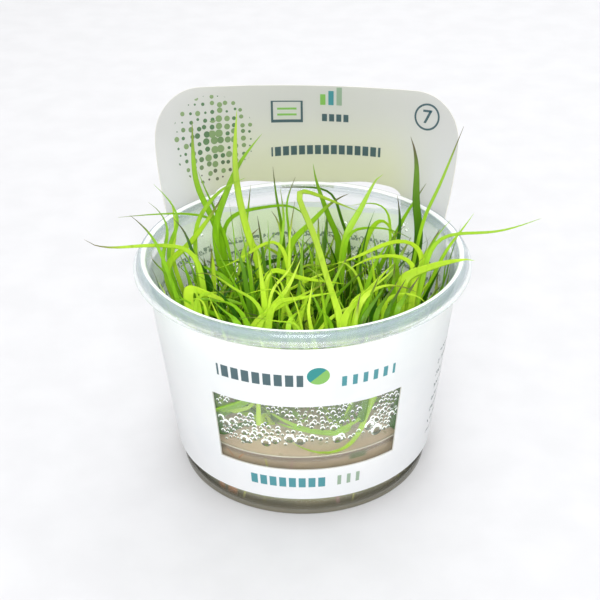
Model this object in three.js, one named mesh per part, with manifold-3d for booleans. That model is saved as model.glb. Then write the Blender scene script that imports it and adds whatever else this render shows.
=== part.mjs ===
// Creeping rush grown in a clear tissue-culture cup, with the printed card that wraps the cup.
// Millimetres, +Z up. The origin is the centre of the cup's flat base, and the card's window faces -Y.
import * as THREE from "three";
import { mergeVertices } from "three/addons/utils/BufferGeometryUtils.js";
import Module from "manifold-3d";

const wasm = await Module();
wasm.setup();

// Cup: a thin clear shell that widens upwards and ends in a rolled rim
const CUP_SIDES = 48;
const CUP_BASE_RADIUS = 37.9;
const CUP_TAPER = 0.115;
const CUP_WALL = 0.8;
const CUP_EDGE_ROUND = 0.9;
const NECK = 64.4;
const RIM_TOP = 69;
const RIM_RADIUS = 49.7;
const RIM_LOWER_EDGE = 65.1;
// The rim's section as radius and height: up the roll's outside, round the flange and over the roll's top
const RIM_SECTION = [
  [45.8, 66.8], [47.2, 68], [47.8, 67.2], [48, 65.6], [48.6, RIM_LOWER_EDGE],
  [RIM_RADIUS, RIM_LOWER_EDGE], [RIM_RADIUS, 66], [48.9, 66.3],
  [48.6, 67.7], [47.9, 68.7], [47, RIM_TOP], [46.2, 68.8], [45.6, 67.9],
];

// Growing gel in the bottom of the cup
const GEL_BOTTOM = 1.1;
const GEL_TOP = 22;
const CONTACT_GAP = 0.3;

// Card: one die-cut piece, a conical band with a window and a tall header behind the rim.
// Bearings on the card are degrees from +Y, growing towards +X.
const CARD_THICKNESS = 0.45;
const CARD_GAP = 0.35;
const BAND_BOTTOM = 7.3;
const BAND_TOP = 62.3;
const WINDOW_BOTTOM = 18.75;
const WINDOW_TOP = 42.4;
const WINDOW_HALF_ANGLE = 37.75;
const SLOT_LEFT = -32.5;
const SLOT_RIGHT = 41;
const TONGUE_LEFT = -6.1;
const TONGUE_RIGHT = 13.7;
const TONGUE_BOTTOM = 65.6;
const HEADER_BOTTOM = 67.7;
const SLOT_ARCH = 1.5;
const SLOT_ARCH_RUN = 14;
const SLOT_CORNER = 5;
const SLOT_CORNER_DROP = 0.6;
const HEADER_TOP = 101;
const HEADER_LEFT = -54.8;
const HEADER_RIGHT = 62.9;
const HEADER_FACING = 6.7;
const HEADER_STAND_OFF = 50.55;
const HEADER_LOW_RADIUS = 50.7;
const HEADER_TOP_RADIUS = 168;
const HEADER_BEND_START = 66;
const HEADER_BEND_END = 100;
const HEADER_LEAN = 0.032;
const HEADER_CORNER = 14.5;
// The header's side edges: how far along the card they are at one height, and how they slope
const EDGE_HEIGHT = 80;
const LEFT_EDGE = { along: -52.8, slope: 0.106 };
const RIGHT_EDGE = { along: 48.3, slope: -0.094 };
const FLARE_START = 47;
const FLARE_REACH = 4.4;
const FLARE_FADE = 14;
// Distances from an edge at which a rounded corner gets a column of points
const HEADER_CORNER_STEPS = [0, 0.5, 1.9, 4, 7.2, 11];
const SLOT_CORNER_STEPS = [0, 0.75, 2.5, SLOT_CORNER];
const COLUMN_ROOM = 0.45;

// Plant: leaves of each plantlet grow from one crown that is set in the gel
const CROWN_TOP = GEL_TOP + 1.2;
const CROWN_DEPTH = 5.5;
const CROWN_RADIUS = 2.4;
const CROWN_FOOT_RADIUS = 1.4;
const CROWN_SIDES = 6;
const LEAF_FOOT = GEL_TOP + 0.6;
const LEAF_FOOT_SPREAD = 1.2;
const LEAF_THICKNESS = 0.5;
const LEAF_STEP = 7.5;
const LEAF_CLEARANCE = 0.4;
const WALL_CLEARANCE = 1.6;
const BLADE_FACING = new THREE.Vector3(0.2, 1, 0.25);
const SIDE_STEP = 1.2;
const SIDE_STEPS = 12;
const SIDEWAYS = new THREE.Vector3(0, 0.87, -0.5);
const FILLER_TRIES = 160;
const FILLER_STEPS = 5;

const COLOURS = {
  cup: 0xdfe8ee,
  card: 0xf4f5f2,
  gel: 0x8c8468,
  leaf: 0x86c71e,
};

const degrees = THREE.MathUtils.degToRad;

function cupRadius(z) {
  return CUP_BASE_RADIUS + CUP_TAPER * z;
}

function cupInnerRadius(z) {
  return cupRadius(z) - CUP_WALL;
}

// Solids: a geometry goes to manifold-3d and back with its shared vertices merged

function toSolid(geometry) {
  const bare = geometry.clone();
  bare.deleteAttribute("normal");
  bare.deleteAttribute("uv");
  const merged = mergeVertices(bare, 1e-4);
  const index = merged.index.array;
  const kept = [];
  for (let i = 0; i < index.length; i += 3) {
    const [a, b, c] = [index[i], index[i + 1], index[i + 2]];
    if (a !== b && b !== c && c !== a) {
      kept.push(a, b, c);
    }
  }
  const vertProperties = new Float32Array(merged.attributes.position.array);
  return new wasm.Manifold(new wasm.Mesh({ numProp: 3, vertProperties, triVerts: new Uint32Array(kept) }));
}

function toGeometry(solid) {
  const mesh = solid.getMesh();
  const geometry = new THREE.BufferGeometry();
  geometry.setAttribute("position", new THREE.BufferAttribute(new Float32Array(mesh.vertProperties), 3));
  geometry.setIndex(new THREE.BufferAttribute(new Uint32Array(mesh.triVerts), 1));
  geometry.computeVertexNormals();
  return geometry;
}

function lathe(profile, sides) {
  const points = profile.map(([radius, height]) => new THREE.Vector2(radius, height));
  return new THREE.LatheGeometry(points, sides).rotateX(Math.PI / 2);
}

function material(colour, roughness, opacity = 1) {
  return new THREE.MeshStandardMaterial({
    color: colour, roughness, metalness: 0, opacity, transparent: opacity < 1,
  });
}

// Cup

function makeCup() {
  const floor = CUP_WALL;
  return lathe([
    [0, 0],
    [CUP_BASE_RADIUS - CUP_EDGE_ROUND, 0],
    [cupRadius(CUP_EDGE_ROUND), CUP_EDGE_ROUND],
    [cupRadius(NECK), NECK],
    ...RIM_SECTION,
    [cupInnerRadius(NECK), NECK],
    [cupInnerRadius(floor + CUP_EDGE_ROUND), floor + CUP_EDGE_ROUND],
    [CUP_BASE_RADIUS - CUP_WALL - CUP_EDGE_ROUND, floor],
    [0, floor],
  ], CUP_SIDES);
}

// Card: a grid of columns round the cup and rows up the card. A cell of the grid is card or is cut out.

// The bearings of points at some distances inwards from an edge
function columnsFrom(edge, inwards, distances) {
  return distances.map((distance) => edge + inwards * THREE.MathUtils.radToDeg(distance / HEADER_LOW_RADIUS));
}

function cardColumns() {
  const marks = [
    TONGUE_LEFT, TONGUE_RIGHT,
    180 - WINDOW_HALF_ANGLE, WINDOW_HALF_ANGLE - 180,
    ...columnsFrom(HEADER_LEFT, 1, HEADER_CORNER_STEPS), ...columnsFrom(HEADER_RIGHT, -1, HEADER_CORNER_STEPS),
    ...columnsFrom(SLOT_LEFT, 1, SLOT_CORNER_STEPS), ...columnsFrom(SLOT_RIGHT, -1, SLOT_CORNER_STEPS),
  ];
  const step = 360 / CUP_SIDES;
  const columns = [...marks];
  for (let bearing = -180; bearing < 180; bearing += step) {
    if (marks.every((mark) => Math.abs(mark - bearing) > step * COLUMN_ROOM)) {
      columns.push(bearing);
    }
  }
  return columns.sort((a, b) => a - b);
}

const CARD_ROWS = [
  BAND_BOTTOM, WINDOW_BOTTOM, WINDOW_TOP, FLARE_START, 52, 57, BAND_TOP, TONGUE_BOTTOM, HEADER_BOTTOM,
];
const HEADER_ROWS = [0.15, 0.34, 0.55, 0.77, 1];

function smooth(t) {
  const s = THREE.MathUtils.clamp(t, 0, 1);
  return s * s * (3 - 2 * s);
}

// How far the band bends out to pass outside the rim where the header grows from it
function flare(bearing, z) {
  const beside = Math.max(SLOT_LEFT < bearing && bearing < SLOT_RIGHT
    ? Math.min(bearing - SLOT_LEFT, SLOT_RIGHT - bearing)
    : Math.max(HEADER_LEFT - bearing, bearing - HEADER_RIGHT), 0);
  return FLARE_REACH * smooth((z - FLARE_START) / (BAND_TOP - FLARE_START)) * (1 - smooth(beside / FLARE_FADE));
}

function bandPoint(bearing, z, proud) {
  const radius = cupRadius(z) + CARD_GAP + CARD_THICKNESS / 2 + flare(bearing, z) + proud;
  const angle = degrees(bearing);
  return [radius * Math.sin(angle), radius * Math.cos(angle), z];
}

// The header's side edges draw in a little towards its top
function headerEdges(z) {
  const [left, right] = [LEFT_EDGE, RIGHT_EDGE].map((edge) => edge.along + edge.slope * (z - EDGE_HEIGHT));
  return { left, right };
}

function headerPoint(bearing, z, proud) {
  const { left, right } = headerEdges(z);
  const along = left + (right - left) * (bearing - HEADER_LEFT) / (HEADER_RIGHT - HEADER_LEFT);
  const rise = (z - HEADER_BEND_START) / (HEADER_BEND_END - HEADER_BEND_START);
  const bend = THREE.MathUtils.lerp(1 / HEADER_LOW_RADIUS, 1 / HEADER_TOP_RADIUS, Math.max(rise, 0));
  const turn = along * bend;
  const x = Math.sin(turn) / bend + proud * Math.sin(turn);
  const standOff = HEADER_STAND_OFF - HEADER_LEAN * Math.max(z - HEADER_BEND_START, 0);
  const y = standOff - (1 - Math.cos(turn)) / bend + proud * Math.cos(turn);
  const facing = degrees(HEADER_FACING);
  return [
    Math.cos(facing) * x + Math.sin(facing) * y,
    Math.cos(facing) * y - Math.sin(facing) * x,
    z,
  ];
}

// The header's top edge drops round a quarter circle at each corner
function headerTop(bearing) {
  const { left, right } = headerEdges(HEADER_TOP - HEADER_CORNER);
  const along = (right - left) * (bearing - HEADER_LEFT) / (HEADER_RIGHT - HEADER_LEFT);
  const inset = Math.min(along, right - left - along, HEADER_CORNER);
  return HEADER_TOP - HEADER_CORNER + Math.sqrt(HEADER_CORNER ** 2 - (HEADER_CORNER - inset) ** 2);
}

// The header's lower edge arches up beside the tongue and comes down round the slot's two ends
function headerFoot(bearing) {
  const middle = (TONGUE_LEFT + TONGUE_RIGHT) / 2;
  const aside = Math.abs(bearing - middle) - (TONGUE_RIGHT - TONGUE_LEFT) / 2;
  const arch = SLOT_ARCH * smooth(aside / SLOT_ARCH_RUN);
  const fromEnd = degrees(Math.min(bearing - SLOT_LEFT, SLOT_RIGHT - bearing)) * HEADER_LOW_RADIUS;
  const inset = THREE.MathUtils.clamp(fromEnd, 0, SLOT_CORNER);
  const drop = SLOT_CORNER_DROP * (SLOT_CORNER - Math.sqrt(SLOT_CORNER ** 2 - (SLOT_CORNER - inset) ** 2));
  return HEADER_BOTTOM + arch - drop;
}

function cardPoint(bearing, row, proud) {
  if (row < CARD_ROWS.length - 1) {
    const z = CARD_ROWS[row];
    return z <= BAND_TOP ? bandPoint(bearing, z, proud) : headerPoint(bearing, z, proud);
  }
  const share = row < CARD_ROWS.length ? 0 : HEADER_ROWS[row - CARD_ROWS.length];
  return headerPoint(bearing, THREE.MathUtils.lerp(headerFoot(bearing), headerTop(bearing), share), proud);
}

// Whether the card has material between two bearings in the row above line `row`
function isCard(from, to, row) {
  const middle = (from + to) / 2;
  const inHeader = HEADER_LEFT < middle && middle < HEADER_RIGHT;
  const inSlot = SLOT_LEFT < middle && middle < SLOT_RIGHT;
  const inTongue = TONGUE_LEFT < middle && middle < TONGUE_RIGHT;
  if (row >= CARD_ROWS.indexOf(HEADER_BOTTOM)) {
    return inHeader;
  }
  if (row === CARD_ROWS.indexOf(TONGUE_BOTTOM)) {
    return inTongue || (inHeader && !inSlot);
  }
  if (row === CARD_ROWS.indexOf(BAND_TOP)) {
    return inHeader && !inSlot;
  }
  return row !== CARD_ROWS.indexOf(WINDOW_BOTTOM) || Math.abs(middle) < 180 - WINDOW_HALF_ANGLE;
}

function makeCard() {
  const columns = cardColumns();
  const count = columns.length;
  const lines = CARD_ROWS.length + HEADER_ROWS.length;
  const bearingAfter = (i) => (i + 1 < count ? columns[i + 1] : columns[0] + 360);
  const filled = (i, row) => {
    const column = (i + count) % count;
    return row >= 0 && row < lines - 1 && isCard(columns[column], bearingAfter(column), row);
  };
  const positions = [];
  const index = [];
  const corner = (i, row, side) => (((i + count) % count) * lines + row) * 2 + side;
  for (const bearing of columns) {
    for (let row = 0; row < lines; row += 1) {
      positions.push(...cardPoint(bearing, row, CARD_THICKNESS / 2));
      positions.push(...cardPoint(bearing, row, -CARD_THICKNESS / 2));
    }
  }
  const quad = (a, b, c, d) => index.push(a, b, c, a, c, d);
  for (let i = 0; i < count; i += 1) {
    for (let row = 0; row < lines - 1; row += 1) {
      if (!filled(i, row)) {
        continue;
      }
      const face = (side) => [
        corner(i, row, side), corner(i, row + 1, side), corner(i + 1, row + 1, side), corner(i + 1, row, side),
      ];
      const [outer, inner] = [face(0), face(1)];
      quad(...outer);
      quad(...[...inner].reverse());
      const openSides = [!filled(i - 1, row), !filled(i, row + 1), !filled(i + 1, row), !filled(i, row - 1)];
      openSides.forEach((open, k) => {
        if (open) {
          const next = (k + 1) % 4;
          quad(outer[next], outer[k], inner[k], inner[next]);
        }
      });
    }
  }
  const geometry = new THREE.BufferGeometry();
  geometry.setAttribute("position", new THREE.Float32BufferAttribute(positions, 3));
  geometry.setIndex(index);
  return toGeometry(toSolid(geometry));
}

// Leaves: each follows a smooth route from its crown and tapers to a point

const CROWNS = {
  left: [-27, 6],
  back_left: [-18, 22],
  back: [-3, 28],
  back_right: [14, 25],
  right: [28, 10],
  front_right: [27, -12],
  front: [9, -24],
  front_left: [-10, -22],
  side_left: [-27, -11],
  middle_left: [-9, 4],
  middle_right: [9, 3],
};

// The leaves that can be told apart: crown, width, then points from the mouth of the cup to the tip
const LEAVES = [
  ["middle_left", 1.7, [-12, 4, 58], [-16, 6, 72], [-19, 10, 90], [-18, 12, 108]],
  ["back_left", 1.9, [-26, 14, 65], [-22, 14, 81], [-18, 13, 91], [-11, 13, 100]],
  ["back_left", 1.6, [-24, 20, 59], [-27, 18, 72], [-31, 14, 85], [-31, 12, 105]],
  ["back_left", 1.0, [-25, 24, 66], [-28, 24, 75], [-31, 26, 83]],
  ["left", 1.3, [-32, 10, 67], [-26, 8, 82], [-21, 4, 88], [-16, 0, 92]],
  ["left", 1.3, [-40, 8, 61], [-36, 8, 74], [-38, 8, 81], [-43, 8, 87]],
  ["left", 1.3, [-41, 2, 61], [-39, 2, 73], [-40, 0, 81], [-44, 0, 85]],
  ["side_left", 1.2, [-38, -8, 62], [-42, -6, 75], [-45, -6, 80], [-49, -6, 84]],
  ["side_left", 1.6, [-30, -6, 68], [-38, -4, 73], [-51, -4, 73], [-59, -3, 72], [-63, -3, 75]],
  ["back_left", 0.9, [-23, 14, 67], [-29, 10, 76], [-40, 6, 79], [-54, 4, 79]],
  ["left", 1.3, [-27, -2, 58], [-32, 0, 67], [-34, 4, 73], [-38, 6, 77]],
  ["left", 1.4, [-39, 12, 59], [-38, 14, 66], [-38, 16, 72], [-39, 16, 78]],
  ["back_left", 1.2, [-24, 26, 59], [-21, 26, 68], [-12, 26, 70], [-2, 24, 72], [2, 22, 69], [5, 20, 62]],
  ["back", 1.0, [-16, 30, 57], [-16, 31, 67], [-15, 32, 75]],
  ["back", 1.1, [-5, 28, 57], [-7, 30, 71], [-8, 30, 82]],
  ["back", 1.0, [-3, 30, 56], [-4, 32, 68], [-1, 33, 77]],
  ["middle_left", 1.1, [-7, 8, 61], [-5, 12, 71], [-6, 14, 82]],
  ["back", 1.5, [12, 22, 55], [9, 20, 69], [5, 18, 82], [4, 18, 88]],
  ["front", 2.1, [8, -22, 60], [4, -16, 77], [-1, -12, 89], [-2, -11, 93], [5, -8, 89], [13, -6, 84]],
  ["back_right", 1.1, [16, 28, 54], [13, 30, 64], [11, 32, 72], [4, 34, 73], [-6, 34, 73]],
  ["middle_right", 1.6, [13, 8, 66], [17, 12, 73], [22, 16, 82], [23, 17, 84], [25, 18, 84]],
  ["right", 1.0, [28, 20, 63], [27, 22, 71], [22, 24, 72], [16, 24, 71]],
  ["back_right", 1.8, [20, 20, 59], [25, 18, 70], [28, 16, 66], [30, 14, 62]],
  ["middle_right", 1.2, [13, 4, 69], [19, 6, 72], [26, 6, 72], [33, 6, 68]],
  ["right", 1.3, [30, 18, 58], [31, 20, 66], [30, 22, 75]],
  ["right", 2.1, [36, 14, 62], [35, 16, 75], [35, 17, 89], [33, 18, 96]],
  ["back_right", 1.3, [31, 24, 63], [35, 24, 71], [39, 24, 78]],
  ["right", 1.4, [36, 8, 71], [40, 8, 82], [44, 8, 94], [47, 8, 103]],
  ["right", 1.1, [40, 0, 61], [44, 0, 68], [47, 0, 74], [50, 0, 79]],
  ["front_right", 1.0, [36, -6, 67], [39, -4, 74], [43, -2, 78]],
  ["front_right", 1.3, [35, -8, 63], [38, -6, 74], [46, -4, 75], [57, -4, 75], [69, -4, 79]],
  ["front_right", 2.3, [28, -14, 65], [36, -12, 69], [43, -12, 70], [47, -12, 71], [48, -12, 69]],
  ["middle_right", 1.6, [12, -2, 68], [20, -2, 71], [29, -2, 72], [34, -2, 69]],
  ["front", 1.8, [10, -18, 66], [14, -14, 73], [25, -12, 72], [32, -10, 66]],
  ["front", 1.8, [10, -26, 63], [15, -26, 69], [23, -24, 73], [26, -22, 75]],
  ["front_left", 1.9, [-12, -20, 63], [0, -18, 69], [6, -18, 68], [12, -18, 67]],
  ["side_left", 2.2, [-32, -16, 65], [-28, -18, 64], [-22, -22, 64]],
  ["front_left", 1.8, [-12, -26, 63], [-20, -22, 68], [-25, -18, 71], [-31, -14, 69]],
  ["front_left", 1.8, [-10, -28, 64], [-2, -28, 68], [9, -30, 71]],
];

// Shorter leaves fill the cup between those, grown by rule from each crown
const FILLERS_PER_CROWN = 5;
const FILLER = { width: [1.3, 2.0], length: [38, 62], lean: [8, 42], droop: [0.1, 0.5], marks: [0.35, 0.7, 1] };
const SEED = 11;

// A small repeatable source of numbers between 0 and 1
function makeRandom(seed) {
  let state = seed;
  return () => {
    state = (state * 1664525 + 1013904223) % 4294967296;
    return state / 4294967296;
  };
}

function vector([x, y, z]) {
  return new THREE.Vector3(x, y, z);
}

// A leaf's foot stands on its own side of the crown, towards where the leaf goes
function footOf(crown, towards) {
  const [x, y] = CROWNS[crown];
  const way = new THREE.Vector3(towards.x - x, towards.y - y, 0);
  way.setLength(LEAF_FOOT_SPREAD);
  return new THREE.Vector3(x + way.x, y + way.y, LEAF_FOOT);
}

function routeOf(points, steps) {
  const curve = new THREE.CatmullRomCurve3(points, false, "centripetal");
  return curve.getSpacedPoints(steps ?? Math.round(curve.getLength() / LEAF_STEP)).map(insideWall);
}

// A point below the rim is drawn in until it is clear of the cup's wall
function insideWall(point) {
  const reach = Math.hypot(point.x, point.y);
  const room = cupInnerRadius(Math.min(point.z, RIM_LOWER_EDGE)) - WALL_CLEARANCE;
  if (point.z < RIM_TOP + 1 && reach > room) {
    point.x *= room / reach;
    point.y *= room / reach;
  }
  return point;
}

function closest(routeA, routeB) {
  let least = Infinity;
  for (let i = 1; i < routeA.length; i += 1) {
    const a = new THREE.Line3(routeA[i - 1], routeA[i]);
    for (let j = 1; j < routeB.length; j += 1) {
      const b = new THREE.Line3(routeB[j - 1], routeB[j]);
      least = Math.min(least, lineDistance(a, b));
    }
  }
  return least;
}

function lineDistance(a, b) {
  const parts = 4;
  const onA = new THREE.Vector3();
  const onB = new THREE.Vector3();
  let least = Infinity;
  for (let k = 0; k <= parts; k += 1) {
    a.at(k / parts, onA);
    b.closestPointToPoint(onA, true, onB);
    least = Math.min(least, onA.distanceTo(onB));
    b.at(k / parts, onB);
    a.closestPointToPoint(onB, true, onA);
    least = Math.min(least, onA.distanceTo(onB));
  }
  return least;
}

function isClear(leaf, placed) {
  return placed.every((other) => other.crown === leaf.crown
    || closest(leaf.route, other.route) > (leaf.width + other.width) / 2 + LEAF_CLEARANCE);
}

// A leaf that would cross another plantlet's leaf is moved back and down, or forward and up, until it is clear
function placeLeaf(crown, width, points, placed) {
  for (let step = 0; step <= 2 * SIDE_STEPS; step += 1) {
    const shift = (step % 2 === 0 ? -1 : 1) * Math.ceil(step / 2) * SIDE_STEP;
    const sideways = SIDEWAYS.clone().multiplyScalar(shift);
    const moved = points.map((point) => insideWall(vector(point).add(sideways)));
    const leaf = { crown, width, route: routeOf([footOf(crown, moved[0]), ...moved]) };
    if (isClear(leaf, placed)) {
      placed.push(leaf);
      return;
    }
  }
  console.warn(`no room for a leaf of ${crown} that starts towards ${points[0]}`);
}

function fillerPoints(crown, random) {
  const pick = ([low, high]) => low + (high - low) * random();
  const way = 2 * Math.PI * random();
  const lean = degrees(pick(FILLER.lean));
  const length = pick(FILLER.length);
  const droop = pick(FILLER.droop);
  const [x, y] = CROWNS[crown];
  return FILLER.marks.map((share) => {
    const out = length * share * Math.sin(lean);
    const up = length * share * Math.cos(lean) - length * droop * share ** 3;
    return [x + Math.cos(way) * out, y + Math.sin(way) * out, LEAF_FOOT + up];
  });
}

function growFillers(placed) {
  const random = makeRandom(SEED);
  const mouth = cupInnerRadius(RIM_LOWER_EDGE) - 1;
  for (const crown of Object.keys(CROWNS)) {
    let grown = 0;
    for (let attempt = 0; attempt < FILLER_TRIES && grown < FILLERS_PER_CROWN; attempt += 1) {
      const width = FILLER.width[0] + (FILLER.width[1] - FILLER.width[0]) * random();
      const points = fillerPoints(crown, random).map((point) => insideWall(vector(point)));
      const leaf = { crown, width, route: routeOf([footOf(crown, points[0]), ...points], FILLER_STEPS) };
      const inMouth = leaf.route.every((point) => Math.hypot(point.x, point.y) < mouth);
      if (inMouth && isClear(leaf, placed)) {
        placed.push(leaf);
        grown += 1;
      }
    }
  }
}

// A blade swells a little to its middle and tapers to a point
function leafWidth(width, share) {
  return width * (0.7 + 0.6 * share - 0.6 * share ** 2) * (1 - share ** 4);
}

// A leaf's section is a shallow keel under two edges, its broad way across the view from -Y
function leafSolid({ route, width }) {
  const positions = [];
  const index = [];
  const last = route.length - 1;
  for (let i = 0; i < last; i += 1) {
    const along = new THREE.Vector3().subVectors(route[i + 1], route[Math.max(i - 1, 0)]).normalize();
    const across = new THREE.Vector3().crossVectors(along, BLADE_FACING).normalize();
    const through = new THREE.Vector3().crossVectors(along, across);
    const half = leafWidth(width, i / last) / 2;
    for (const [a, t] of [[half, 0], [-half, 0], [0, -LEAF_THICKNESS]]) {
      positions.push(...route[i].clone().addScaledVector(across, a).addScaledVector(through, t));
    }
  }
  positions.push(...route[last]);
  const tip = last * 3;
  for (let i = 0; i < last; i += 1) {
    for (let k = 0; k < 3; k += 1) {
      const [a, b] = [i * 3 + k, i * 3 + ((k + 1) % 3)];
      if (i + 1 < last) {
        index.push(a, b, b + 3, a, b + 3, a + 3);
      } else {
        index.push(a, b, tip);
      }
    }
  }
  index.push(0, 2, 1);
  const geometry = new THREE.BufferGeometry();
  geometry.setAttribute("position", new THREE.Float32BufferAttribute(positions, 3));
  geometry.setIndex(index);
  return toSolid(geometry);
}

// A tapered plug round a crown's place; `room` widens it for the pocket in the gel
function crownSolid([x, y], room) {
  const height = CROWN_DEPTH + room;
  const plug = new THREE.CylinderGeometry(
    CROWN_RADIUS + room, CROWN_FOOT_RADIUS + room, height, CROWN_SIDES,
  );
  plug.rotateX(Math.PI / 2);
  plug.translate(x, y, CROWN_TOP - height / 2);
  return toSolid(plug);
}

function makePlantlets() {
  const placed = [];
  for (const [crown, width, ...points] of LEAVES) {
    placeLeaf(crown, width, points, placed);
  }
  growFillers(placed);
  return Object.entries(CROWNS).map(([crown, place]) => {
    let solid = crownSolid(place, 0);
    for (const leaf of placed.filter((one) => one.crown === crown)) {
      solid = solid.add(leafSolid(leaf));
    }
    return [`plantlet_${crown}`, toGeometry(solid)];
  });
}

// Gel: a disc that fills the cup's foot, with a pocket for each crown

function makeGel() {
  const rim = (z) => cupInnerRadius(z) - CONTACT_GAP;
  let solid = toSolid(lathe([
    [0, GEL_BOTTOM],
    [rim(GEL_BOTTOM) - CUP_EDGE_ROUND, GEL_BOTTOM],
    [rim(GEL_BOTTOM + CUP_EDGE_ROUND), GEL_BOTTOM + CUP_EDGE_ROUND],
    [rim(GEL_TOP), GEL_TOP],
    [0, GEL_TOP],
  ], CUP_SIDES));
  for (const place of Object.values(CROWNS)) {
    solid = solid.subtract(crownSolid(place, CONTACT_GAP));
  }
  return toGeometry(solid);
}

function named(name, geometry, surface) {
  const mesh = new THREE.Mesh(geometry, surface);
  mesh.name = name;
  return mesh;
}

const group = new THREE.Group();
group.add(named("cup", toGeometry(toSolid(makeCup())), material(COLOURS.cup, 0.1, 0.3)));
group.add(named("card_sleeve", makeCard(), material(COLOURS.card, 0.55)));
group.add(named("growing_gel", makeGel(), material(COLOURS.gel, 0.2, 0.85)));
for (const [name, geometry] of makePlantlets()) {
  group.add(named(name, geometry, material(COLOURS.leaf, 0.4)));
}

export default group;
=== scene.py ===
# %% [markdown]
# Creeping rush in a tissue culture cup. A clear plastic cup holds a layer of growing gel, and a tuft of
# grass-like rush grows out of it. A white card sleeve wraps the cup: it has a window in front and a tall
# curved header behind the rim. Everything here is dressed round one fixed CAD frame, in metres.

# %% Load the frame
import math
from functools import partialmethod

import bpy
from mathutils import Matrix, Vector


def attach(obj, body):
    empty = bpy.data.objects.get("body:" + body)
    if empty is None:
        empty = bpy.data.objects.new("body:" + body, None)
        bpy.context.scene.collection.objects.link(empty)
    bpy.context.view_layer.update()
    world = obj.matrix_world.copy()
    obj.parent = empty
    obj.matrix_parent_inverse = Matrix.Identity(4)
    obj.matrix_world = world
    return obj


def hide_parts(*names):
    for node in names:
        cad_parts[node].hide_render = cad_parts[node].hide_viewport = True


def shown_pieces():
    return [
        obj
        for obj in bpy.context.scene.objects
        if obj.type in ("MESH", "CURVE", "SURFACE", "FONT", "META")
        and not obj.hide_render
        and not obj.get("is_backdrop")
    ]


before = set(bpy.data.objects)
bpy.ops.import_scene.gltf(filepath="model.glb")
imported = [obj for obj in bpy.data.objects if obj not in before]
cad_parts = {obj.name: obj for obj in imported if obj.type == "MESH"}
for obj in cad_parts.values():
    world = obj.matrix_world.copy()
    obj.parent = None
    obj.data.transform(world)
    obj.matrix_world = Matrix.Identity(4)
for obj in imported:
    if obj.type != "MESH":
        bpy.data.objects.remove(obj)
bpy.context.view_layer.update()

MM = 0.001

# %% [markdown]
# Node trees are easier to read as formulas than as boxes. A wire stands for one output socket, and Python's
# own signs add the Math nodes. A web stands for one tree, and it has a single way to add any other node.

# %% Wires and webs


class Wire:
    """One output socket. Python's signs on it add Math nodes."""

    def __init__(self, web, socket):
        self.web = web
        self.socket = socket

    def maths(self, operation, *others, swap=False):
        terms = (*others, self) if swap else (self, *others)
        return self.web.node("ShaderNodeMath", dict(enumerate(terms)), operation=operation)

    def out(self, name):
        """Another output of the same node."""
        return Wire(self.web, pick_socket(self.socket.node.outputs, name))

    __add__ = __radd__ = partialmethod(maths, "ADD")
    __mul__ = __rmul__ = partialmethod(maths, "MULTIPLY")
    __sub__ = partialmethod(maths, "SUBTRACT")
    __rsub__ = partialmethod(maths, "SUBTRACT", swap=True)
    __truediv__ = partialmethod(maths, "DIVIDE")
    __pow__ = partialmethod(maths, "POWER")
    __gt__ = partialmethod(maths, "GREATER_THAN")
    __lt__ = partialmethod(maths, "LESS_THAN")
    __abs__ = partialmethod(maths, "ABSOLUTE")


def pick_socket(sockets, key):
    usable = [socket for socket in sockets if socket.enabled]
    if isinstance(key, int):
        return usable[key]
    return next(socket for socket in usable if socket.name == key)


class Web:
    """A node tree, with one way to add a node: its type, sockets, wanted output and settings."""

    family = "GeometryNode"

    def __init__(self, tree):
        self.tree = tree
        tree.nodes.clear()

    def node(self, kind, sockets=None, output=0, **settings):
        made = self.tree.nodes.new(kind)
        for name, value in settings.items():
            setattr(made, name, value)
        for key, value in (sockets or {}).items():
            socket = pick_socket(made.inputs, key)
            if isinstance(value, Wire):
                self.tree.links.new(value.socket, socket)
            else:
                socket.default_value = value
        return Wire(self, pick_socket(made.outputs, output)) if made.outputs else made

    def add(self, kind, *details, **settings):
        """A node whose type starts with the name of the tree's own family."""
        return self.node(self.family + kind, *details, **settings)

    def smooth(self, value, low, high, start=0.0, end=1.0):
        """Goes smoothly from start to end while value goes from low to high."""
        ends = {"Value": value, "From Min": low, "From Max": high, "To Min": start, "To Max": end}
        return self.node("ShaderNodeMapRange", ends, interpolation_type="SMOOTHSTEP")

    def rise(self, length, low, high):
        """Goes from 0 to 1 while a length goes from low to high, in millimetres."""
        return self.smooth(length, low * MM, high * MM)

    def fall(self, length, low, high, start=1.0):
        """Goes from start to 0 while a length goes from low to high, in millimetres."""
        return self.smooth(length, low * MM, high * MM, start, 0.0)

    def vector(self, x, y, z):
        return self.node("ShaderNodeCombineXYZ", {"X": x, "Y": y, "Z": z})

    def parts(self, vector):
        split = self.node("ShaderNodeSeparateXYZ", {0: vector})
        return split, split.out("Y"), split.out("Z")

    def vector_maths(self, operation, *terms):
        return self.node("ShaderNodeVectorMath", dict(enumerate(terms)), operation=operation)


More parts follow.
